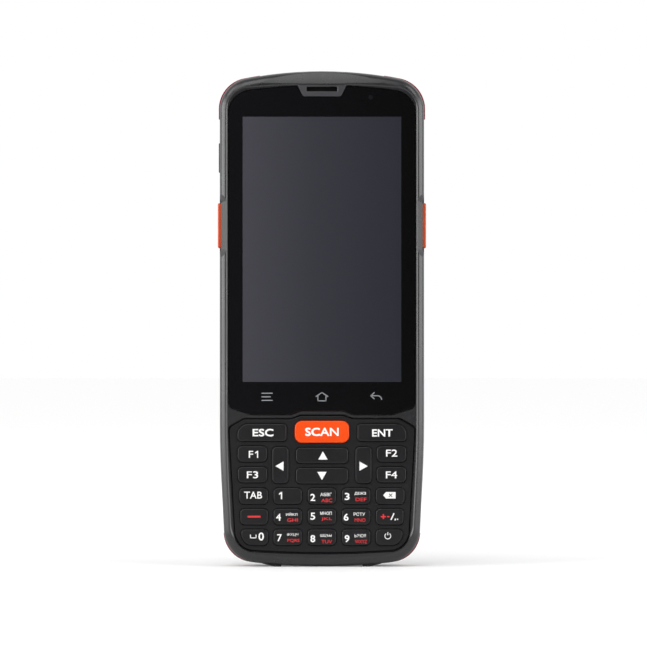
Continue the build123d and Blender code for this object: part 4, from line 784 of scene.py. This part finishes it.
@dataclass
class Keypad:
    """Key caps with their printed legends on the black panel."""

    print_mm: float = 0.03
    digit_shift: float = -2.95
    upper_shift: float = 1.3
    lower_shift: float = 1.55
    digit_cap: float = 2.35
    digit_width: float = 1.6
    digit_bold: float = 0.08
    letter_bold: float = 0.02
    phone_letters: dict = field(default_factory=lambda: {
        "2": ("АБВГ", "ABC"), "3": ("ДЕЖЗ", "DEF"), "4": ("ИЙКЛ", "GHI"), "5": ("МНОП", "JKL"),
        "6": ("РСТУ", "MNO"), "7": ("ФХЦЧ", "PQRS"), "8": ("ШЩЪЫ", "TUV"), "9": ("ЬЭЮЯ", "WXYZ"),
    })
    words: dict = field(default_factory=lambda: {
        "key_esc": ("ESC", 0.35, 0.0, 2.5, 6.8, 0.12), "key_scan": ("SCAN", 0.0, 0.0, 2.75, 10.9, 0.13),
        "key_enter": ("ENT", 0.15, -0.1, 2.45, 6.7, 0.12), "key_f1": ("F", -0.45, -0.1, 2.3, 1.45, 0.05),
        "key_f2": ("F2", 0.05, 0.3, 2.3, 3.7, 0.05), "key_f3": ("F3", 0.0, 0.0, 2.3, 3.7, 0.05),
        "key_f4": ("F4", 0.05, 0.0, 2.3, 3.7, 0.05), "key_tab": ("TAB", -0.15, 0.35, 2.3, 5.8, 0.05),
    })
    arrows: dict = field(default_factory=lambda: {
        "key_up": 90.0, "key_down": 270.0, "key_left": 180.0, "key_right": 0.0,
    })
    offsets: dict = field(default_factory=lambda: {
        "key_left": (-0.3, -0.3), "key_up": (0.3, 0.0), "key_right": (0.0, -0.3), "key_1": (0.6, 0.3),
        "key_2": (0.0, -0.3), "key_5": (0.0, 0.3), "key_6": (-0.3, 0.0), "key_7": (0.3, 0.0),
        "key_8": (0.0, -0.3), "key_9": (0.0, -0.3), "key_backspace": (-0.3, 0.0), "key_0": (0.0, 0.3),
        "key_power": (0.2, 0.0),
    })

    def build(self) -> None:
        """Dress panel and keys, then print every legend."""
        dress(PANEL.build(), "keypad_panel")
        keys = [name for name in NODES if name.startswith("key_")]
        dress(KEYCAP.build(), *(name for name in keys if name != "key_scan"))
        dress(SCAN_KEY.build(), "key_scan")
        white, red = WHITE_INK.build(), RED_INK.build()
        for name in sorted(keys):
            low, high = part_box(name)
            marks = Print(low.y / MM, self.print_mm)
            shift_x, shift_z = self.offsets.get(name, (0.0, 0.0))
            self.legend(marks, name, (low.x + high.x) / 2 / MM + shift_x, (low.z + high.z) / 2 / MM + shift_z)
            slot = "scan_key_plastic" if name == "key_scan" else "key_plastic"
            marks.finish("legend_" + name[4:], name + "_cap", slot, white, red)

    def legend(self, marks: Print, name: str, x: float, z: float) -> None:
        """Print what the named key carries.

        Args:
            marks: print of the key.
            name: node of the key.
            x: centre in millimetres.
            z: centre in millimetres.
        """
        if name in self.words:
            text, shift_x, shift_z, cap, width, bold = self.words[name]
            marks.text(text, x + shift_x, z + shift_z, cap, width, bold)
            if name == "key_f1":
                self.one(marks, x + 1.35, z + shift_z, cap, 0.36)
        elif name in self.arrows:
            self.arrow(marks, x, z, self.arrows[name])
        elif name == "key_backspace":
            self.backspace(marks, x, z + 0.3)
        elif name == "key_minus":
            marks.stroke((x - 2.1, z + 0.05), (x + 2.1, z + 0.05), 0.62, 1)
        elif name == "key_symbols":
            self.symbols(marks, x, z)
        elif name == "key_power":
            self.power(marks, x - 0.7, z + 0.45)
        elif name == "key_0":
            marks.text("0", x + 2.15, z, self.digit_cap + 0.3, 1.8, self.digit_bold)
            corners = [(x - 1.3, z + 0.6), (x - 1.3, z - 0.45), (x + 0.5, z - 0.45), (x + 0.5, z + 0.6)]
            for start, end in zip(corners, corners[1:]):
                marks.stroke(start, end, 0.28)
        else:
            self.digit(marks, name[4:], x, z)

    def digit(self, marks: Print, digit: str, x: float, z: float) -> None:
        """Print a digit with its two rows of small letters.

        Args:
            marks: print of the key.
            digit: figure from 1 to 9.
            x: centre in millimetres.
            z: centre in millimetres.
        """
        if digit == "1":
            self.one(marks, x + self.digit_shift, z - 0.1, self.digit_cap, 0.42)
        else:
            marks.text(digit, x + self.digit_shift, z - 0.1, self.digit_cap, self.digit_width, self.digit_bold)
        if digit in self.phone_letters:
            upper, lower = self.phone_letters[digit]
            wide = 3.5 if len(lower) < 4 else 3.9
            marks.text(upper, x + self.upper_shift, z + 0.85, 1.05, 3.7, self.letter_bold)
            marks.text(lower, x + self.lower_shift, z - 1.05, 1.15, wide, self.letter_bold, 1)

    def one(self, marks: Print, x: float, z: float, cap: float, stem: float) -> None:
        """Figure one with a slanting flag, its stem centred a little right of x.

        Args:
            marks: print of the key.
            x: centre in millimetres.
            z: centre in millimetres.
            cap: height of the figure.
            stem: width of its stem.
        """
        high, low, edge = z + cap / 2, z - cap / 2, x + 0.15 + stem
        marks.outline([
            (edge, high), (edge - stem * 0.75, high), (x - 0.45, high - 0.5), (x - 0.45, high - 0.95),
            (edge - stem, high - 0.6), (edge - stem, low), (edge, low),
        ])

    def arrow(self, marks: Print, x: float, z: float, angle: float) -> None:
        """Filled triangle that points along angle, in degrees from the right.

        Args:
            marks: print of the key.
            x: centre in millimetres.
            z: centre in millimetres.
            angle: direction, turning to the left.
        """
        turn = math.radians(angle)
        corners = []
        for along, side in ((1.35, 0.0), (-1.3, 1.5), (-1.3, -1.5)):
            corners.append((
                x + along * math.cos(turn) - side * math.sin(turn),
                z + along * math.sin(turn) + side * math.cos(turn),
            ))
        marks.outline(corners)

    def backspace(self, marks: Print, x: float, z: float) -> None:
        """Filled arrow-shaped tag with a cross cut out of it.

        Args:
            marks: print of the key.
            x: centre in millimetres.
            z: centre in millimetres.
        """
        tag = [(x - 2.0, z), (x - 1.1, z + 1.05), (x + 2.0, z + 1.05), (x + 2.0, z - 1.05), (x - 1.1, z - 1.05)]
        arm, thick = 0.62, 0.16
        cross = [
            (x + 0.4 + dx, z + dz) for dx, dz in (
                (-arm, arm - thick), (-arm + thick, arm), (0, thick), (arm - thick, arm), (arm, arm - thick),
                (thick, 0), (arm, -arm + thick), (arm - thick, -arm), (0, -thick), (-arm + thick, -arm),
                (-arm, -arm + thick), (-thick, 0),
            )
        ]
        marks.outline(tag, 0, (cross,))

    def symbols(self, marks: Print, x: float, z: float) -> None:
        """Plus and minus in red, then slash, comma and stop in white.

        Args:
            marks: print of the key.
            x: centre in millimetres.
            z: centre in millimetres.
        """
        marks.stroke((x - 2.9, z + 0.05), (x - 1.3, z + 0.05), 0.42, 1)
        marks.stroke((x - 2.1, z + 0.25), (x - 2.1, z + 0.85), 0.42, 1)
        marks.stroke((x - 2.1, z - 0.15), (x - 2.1, z - 0.75), 0.42, 1)
        marks.stroke((x - 0.9, z + 0.05), (x - 0.1, z + 0.05), 0.42, 1)
        marks.stroke((x + 0.35, z - 1.0), (x + 1.35, z + 1.15), 0.4)
        marks.stroke((x + 1.85, z - 0.6), (x + 1.65, z - 1.15), 0.38)
        marks.stroke((x + 2.5, z - 0.6), (x + 2.5, z - 0.98), 0.38)

    def power(self, marks: Print, x: float, z: float) -> None:
        """Broken ring with a bar at its top.

        Args:
            marks: print of the key.
            x: centre in millimetres.
            z: centre in millimetres.
        """
        for step in range(20):
            start, end = (math.radians(125 + 290 * (step + k) / 20) for k in (0, 1))
            marks.stroke(
                (x + 0.95 * math.cos(start), z + 0.95 * math.sin(start)),
                (x + 0.95 * math.cos(end), z + 0.95 * math.sin(end)),
                0.26,
            )
        marks.stroke((x, z + 1.25), (x, z + 0.25), 0.26)


@dataclass
class ScannerHead:
    """Scan window, camera, flash and loudspeaker of the thicker upper end."""

    ring_radii: tuple[float, float] = (1.75, 2.75)
    ring_height: float = 0.22
    ring_edge: float = 0.08
    lens_radius: float = 1.7
    lens_rise: float = 0.4
    border_radii: tuple[float, float] = (2.9, 4.3)
    border_mm: float = 0.02
    ring_clearance: float = 0.05
    lens_depth: float = 0.75

    def build(self) -> None:
        """Dress the head's nodes and add the lens, its ring and the window's printed border."""
        dress(WINDOW.build(), "scan_window")
        dress(ClearWindow().build(), "camera_window")
        dress(PHOSPHOR.build(), "flash_led")
        dress(WovenMesh().build(), "sound_meshes")
        dress(OPTICS.build(), "scan_engine", "camera_module", "loudspeaker")
        low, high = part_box("camera_window")
        height = (low.z + high.z) / 2 / MM
        window_back, window_front = low.y / MM, high.y / MM
        self.ring(window_back - self.ring_clearance, height)
        self.lens(window_back - self.lens_depth, height)
        self.border(window_front, height)

    def turned(self, profile: list[tuple[float, float]], height: float) -> bmesh.types.BMesh:
        """Turn a profile round the camera's axis.

        Args:
            profile: (radius, y) points in millimetres.
            height: z of the axis in millimetres.

        Returns:
            The turned shape.
        """
        section = bmesh.new()
        corners = [section.verts.new((radius * MM, y * MM, height * MM)) for radius, y in profile]
        edges = [section.edges.new(pair) for pair in zip(corners, corners[1:])]
        bmesh.ops.spin(
            section, geom=[*corners, *edges], cent=(0, 0, height * MM), axis=(0, 1, 0), angle=math.tau, steps=48,
            use_merge=True,
        )
        bmesh.ops.remove_doubles(section, verts=section.verts, dist=0.001 * MM)
        return section

    def ring(self, face: float, height: float) -> None:
        """Bare metal ring round the lens.

        Args:
            face: y of its outer face in millimetres.
            height: z of the axis in millimetres.
        """
        inner, outer = self.ring_radii
        foot, edge = face - self.ring_height, self.ring_edge
        profile = [
            (inner, foot), (outer, foot), (outer, face - edge), (outer - edge, face), (inner + edge, face),
            (inner, face - edge), (inner, foot),
        ]
        mesh = mesh_from(self.turned(profile, height), "camera_ring")
        place_piece(mesh, "camera_ring", "case", "socket_steel", BEZEL.build())

    def lens(self, rim: float, height: float) -> None:
        """Domed front lens.

        Args:
            rim: y of its rim in millimetres.
            height: z of the axis in millimetres.
        """
        arc = [math.radians(90 * step / 8) for step in range(9)]
        foot = rim - self.ring_height
        dome = [(0, foot), (self.lens_radius, foot)]
        dome += [(self.lens_radius * math.cos(a), rim + self.lens_rise * math.sin(a)) for a in arc]
        mesh = mesh_from(self.turned(dome, height), "camera_lens")
        mesh.shade_smooth()
        place_piece(mesh, "camera_lens", "case", "window_glass", LENS.build())

    def border(self, face: float, height: float) -> None:
        """Black printed border on the camera window, clear in the middle.

        Args:
            face: y of the window's face in millimetres.
            height: z of the axis in millimetres.
        """
        inner, outer = (circle(radius, 0.0, height, 64) for radius in self.border_radii)
        frame_print = Print(face + self.border_mm, self.border_mm)
        frame_print.outline(outer, 0, (inner,))
        frame_print.finish("camera_window_border", "case", "window_glass", BORDER_INK.build())


@dataclass
class Innards:
    """Boards, chassis, display and battery behind the housings."""

    def build(self) -> None:
        """Dress the inner nodes."""
        dress(BoardMask().build(), "main_board", "keypad_board")
        dress(CHASSIS.build(), "mid_frame")
        dress(SHELL.build(), "usb_socket")
        dress(GOLD.build(), "side_switches", "battery_contacts", "dock_contacts")
        dress(WRAP.build(), "battery_pack", "display_module", "earpiece_receiver")


# ---------------------------------------------------------------- studio
@dataclass(frozen=True)
class Softbox:
    """Rectangular soft light, by its place in metres, its size and its power in watts."""

    name: str
    place: tuple[float, float, float]
    width: float
    height: float
    watts: float

    def build(self, aim: Vector) -> None:
        """Hang the light and turn it to aim.

        Args:
            aim: point in metres that it faces.
        """
        light = bpy.data.lights.new(self.name, "AREA")
        light.shape = "RECTANGLE"
        light.size = self.width
        light.size_y = self.height
        light.energy = self.watts
        lamp = bpy.data.objects.new(self.name, light)
        lamp.location = self.place
        lamp.rotation_euler = (aim - Vector(self.place)).to_track_quat("-Z", "Y").to_euler()
        bpy.context.scene.collection.objects.link(lamp)


@dataclass
class Studio:
    """Pale floor, soft light and the camera straight in front of the screen."""

    camera_distance: float = 1.6
    view_width: float = 0.20866
    aim_x: float = 0.0005
    aim_z: float = 0.0785
    front_strength: float = 0.07
    side_strength: float = 0.3
    back_strength: float = 1.0
    floor_paper: float = 0.8
    near_glow: float = 0.11
    far_glow: float = 0.64
    glow_reach: float = 0.55
    tent_mirror: tuple[float, float] = (0.0, 0.4)
    floor_mirror: tuple[float, float] = (0.05, 0.25)
    floor_size: float = 3.0
    floor_front: float = -0.5
    lights: tuple[Softbox, ...] = (
        Softbox("softbox_left", (-0.75, -0.42, 0.20), 0.42, 0.44, 2.9),
        Softbox("softbox_right", (0.75, -0.42, 0.20), 0.42, 0.44, 2.4),
        Softbox("corner_left", (-0.58, -0.36, 0.70), 0.44, 0.40, 2.0),
        Softbox("corner_right", (0.58, -0.36, 0.70), 0.44, 0.40, 1.7),
        Softbox("strip_left", (-0.88, -0.05, 0.20), 0.4, 0.6, 3.6),
        Softbox("strip_right", (0.88, -0.05, 0.20), 0.4, 0.6, 2.6),
        Softbox("softbox_top", (-0.12, -0.58, 0.72), 0.42, 0.7, 2.5),
    )

    def build(self) -> None:
        """Set up world, floor, lamps and camera."""
        scene = bpy.context.scene
        scene.view_settings.view_transform = "Standard"
        self.world(scene)
        self.floor(scene)
        for softbox in self.lights:
            softbox.build(Vector((0.0, 0.0, self.aim_z)))
        self.camera(scene)

    def world(self, scene: bpy.types.Scene) -> None:
        """Light tent, dark in front; the camera, glass and metal see it white behind.

        Args:
            scene: scene to set up.
        """
        world = bpy.data.worlds.new("studio_world")
        world.use_nodes = True
        tree = world.node_tree
        tree.nodes.clear()
        place = add_node(tree, "TexCoord").outputs["Generated"]
        depth = add_node(tree, "SeparateXYZ", links={"Vector": place}).outputs["Y"]
        across = add_node(tree, "MapRange", {"From Min": -1.0, "From Max": 1.0}, {"Value": depth}).outputs["Result"]
        strengths = [
            (0.1, grey(self.front_strength)), (0.5, grey(self.side_strength)), (0.9, grey(self.back_strength)),
        ]
        tent = add_node(tree, "ValToRGB", {"stops": strengths}, {"Fac": across}).outputs["Color"]
        around = add_node(tree, "Background", links={"Color": tent}).outputs[0]
        white = add_node(tree, "Background", {"Color": grey(1.0), "Strength": 1.0}).outputs[0]
        mixed = add_node(
            tree, "MixShader", links={0: white_rays(tree, depth, *self.tent_mirror), 1: around, 2: white}
        ).outputs[0]
        add_node(tree, "OutputWorld", links={"Surface": mixed})
        scene.world = world

    def floor(self, scene: bpy.types.Scene) -> None:
        """White floor that keeps a soft shadow; its glow makes up for the lamps' fall-off.

        Args:
            scene: scene to set up.
        """
        plane = bmesh.new()
        bmesh.ops.create_grid(plane, x_segments=1, y_segments=1, size=self.floor_size)
        bmesh.ops.translate(plane, vec=(0, self.floor_size + self.floor_front, 0), verts=plane.verts)
        mesh = bpy.data.meshes.new("studio_floor")
        plane.to_mesh(mesh)
        plane.free()
        floor = bpy.data.objects.new("studio_floor", mesh)
        scene.collection.objects.link(floor)
        material = bpy.data.materials.new("paper_white_matt")
        material.use_nodes = True
        tree = material.node_tree
        tree.nodes.clear()
        place = add_node(tree, "TexCoord").outputs["Object"]
        depth = add_node(tree, "SeparateXYZ", links={"Vector": place}).outputs["Y"]
        either = white_rays(tree, depth, *self.floor_mirror)
        paper = add_node(tree, "BsdfDiffuse", {"Color": grey(self.floor_paper)}).outputs[0]
        rise = {"From Max": self.glow_reach, "To Min": self.near_glow, "To Max": self.far_glow}
        away = add_node(tree, "VectorMath", {"operation": "LENGTH"}, {"Vector": place}).outputs["Value"]
        level = add_node(tree, "MapRange", rise, {"Value": away}).outputs["Result"]
        glow = add_node(tree, "Emission", links={"Color": level, "Strength": either}).outputs[0]
        both = add_node(tree, "AddShader", links={0: paper, 1: glow}).outputs[0]
        add_node(tree, "OutputMaterial", links={"Surface": both})
        mesh.materials.append(material)

    def camera(self, scene: bpy.types.Scene) -> None:
        """Long lens on the screen's axis; the whole picture is view_width wide.

        Args:
            scene: scene to set up.
        """
        front = CAD_BOX[0].y
        data = bpy.data.cameras.new("front_camera")
        data.sensor_width = 36.0
        data.lens = data.sensor_width * self.camera_distance / self.view_width
        camera = bpy.data.objects.new("front_camera", data)
        camera.location = (self.aim_x, front - self.camera_distance, self.aim_z)
        camera.rotation_euler = (math.radians(90), 0, 0)
        scene.collection.objects.link(camera)
        scene.camera = camera


def main() -> None:
    """Build the sub-assemblies in order, then the studio."""
    logging.basicConfig(level=logging.INFO, format="%(name)s: %(message)s")
    for assembly in (Casing(), Screen(), Keypad(), ScannerHead(), Innards(), Studio()):
        log.info("building %s", type(assembly).__name__)
        assembly.build()


if __name__ == "__main__":
    main()
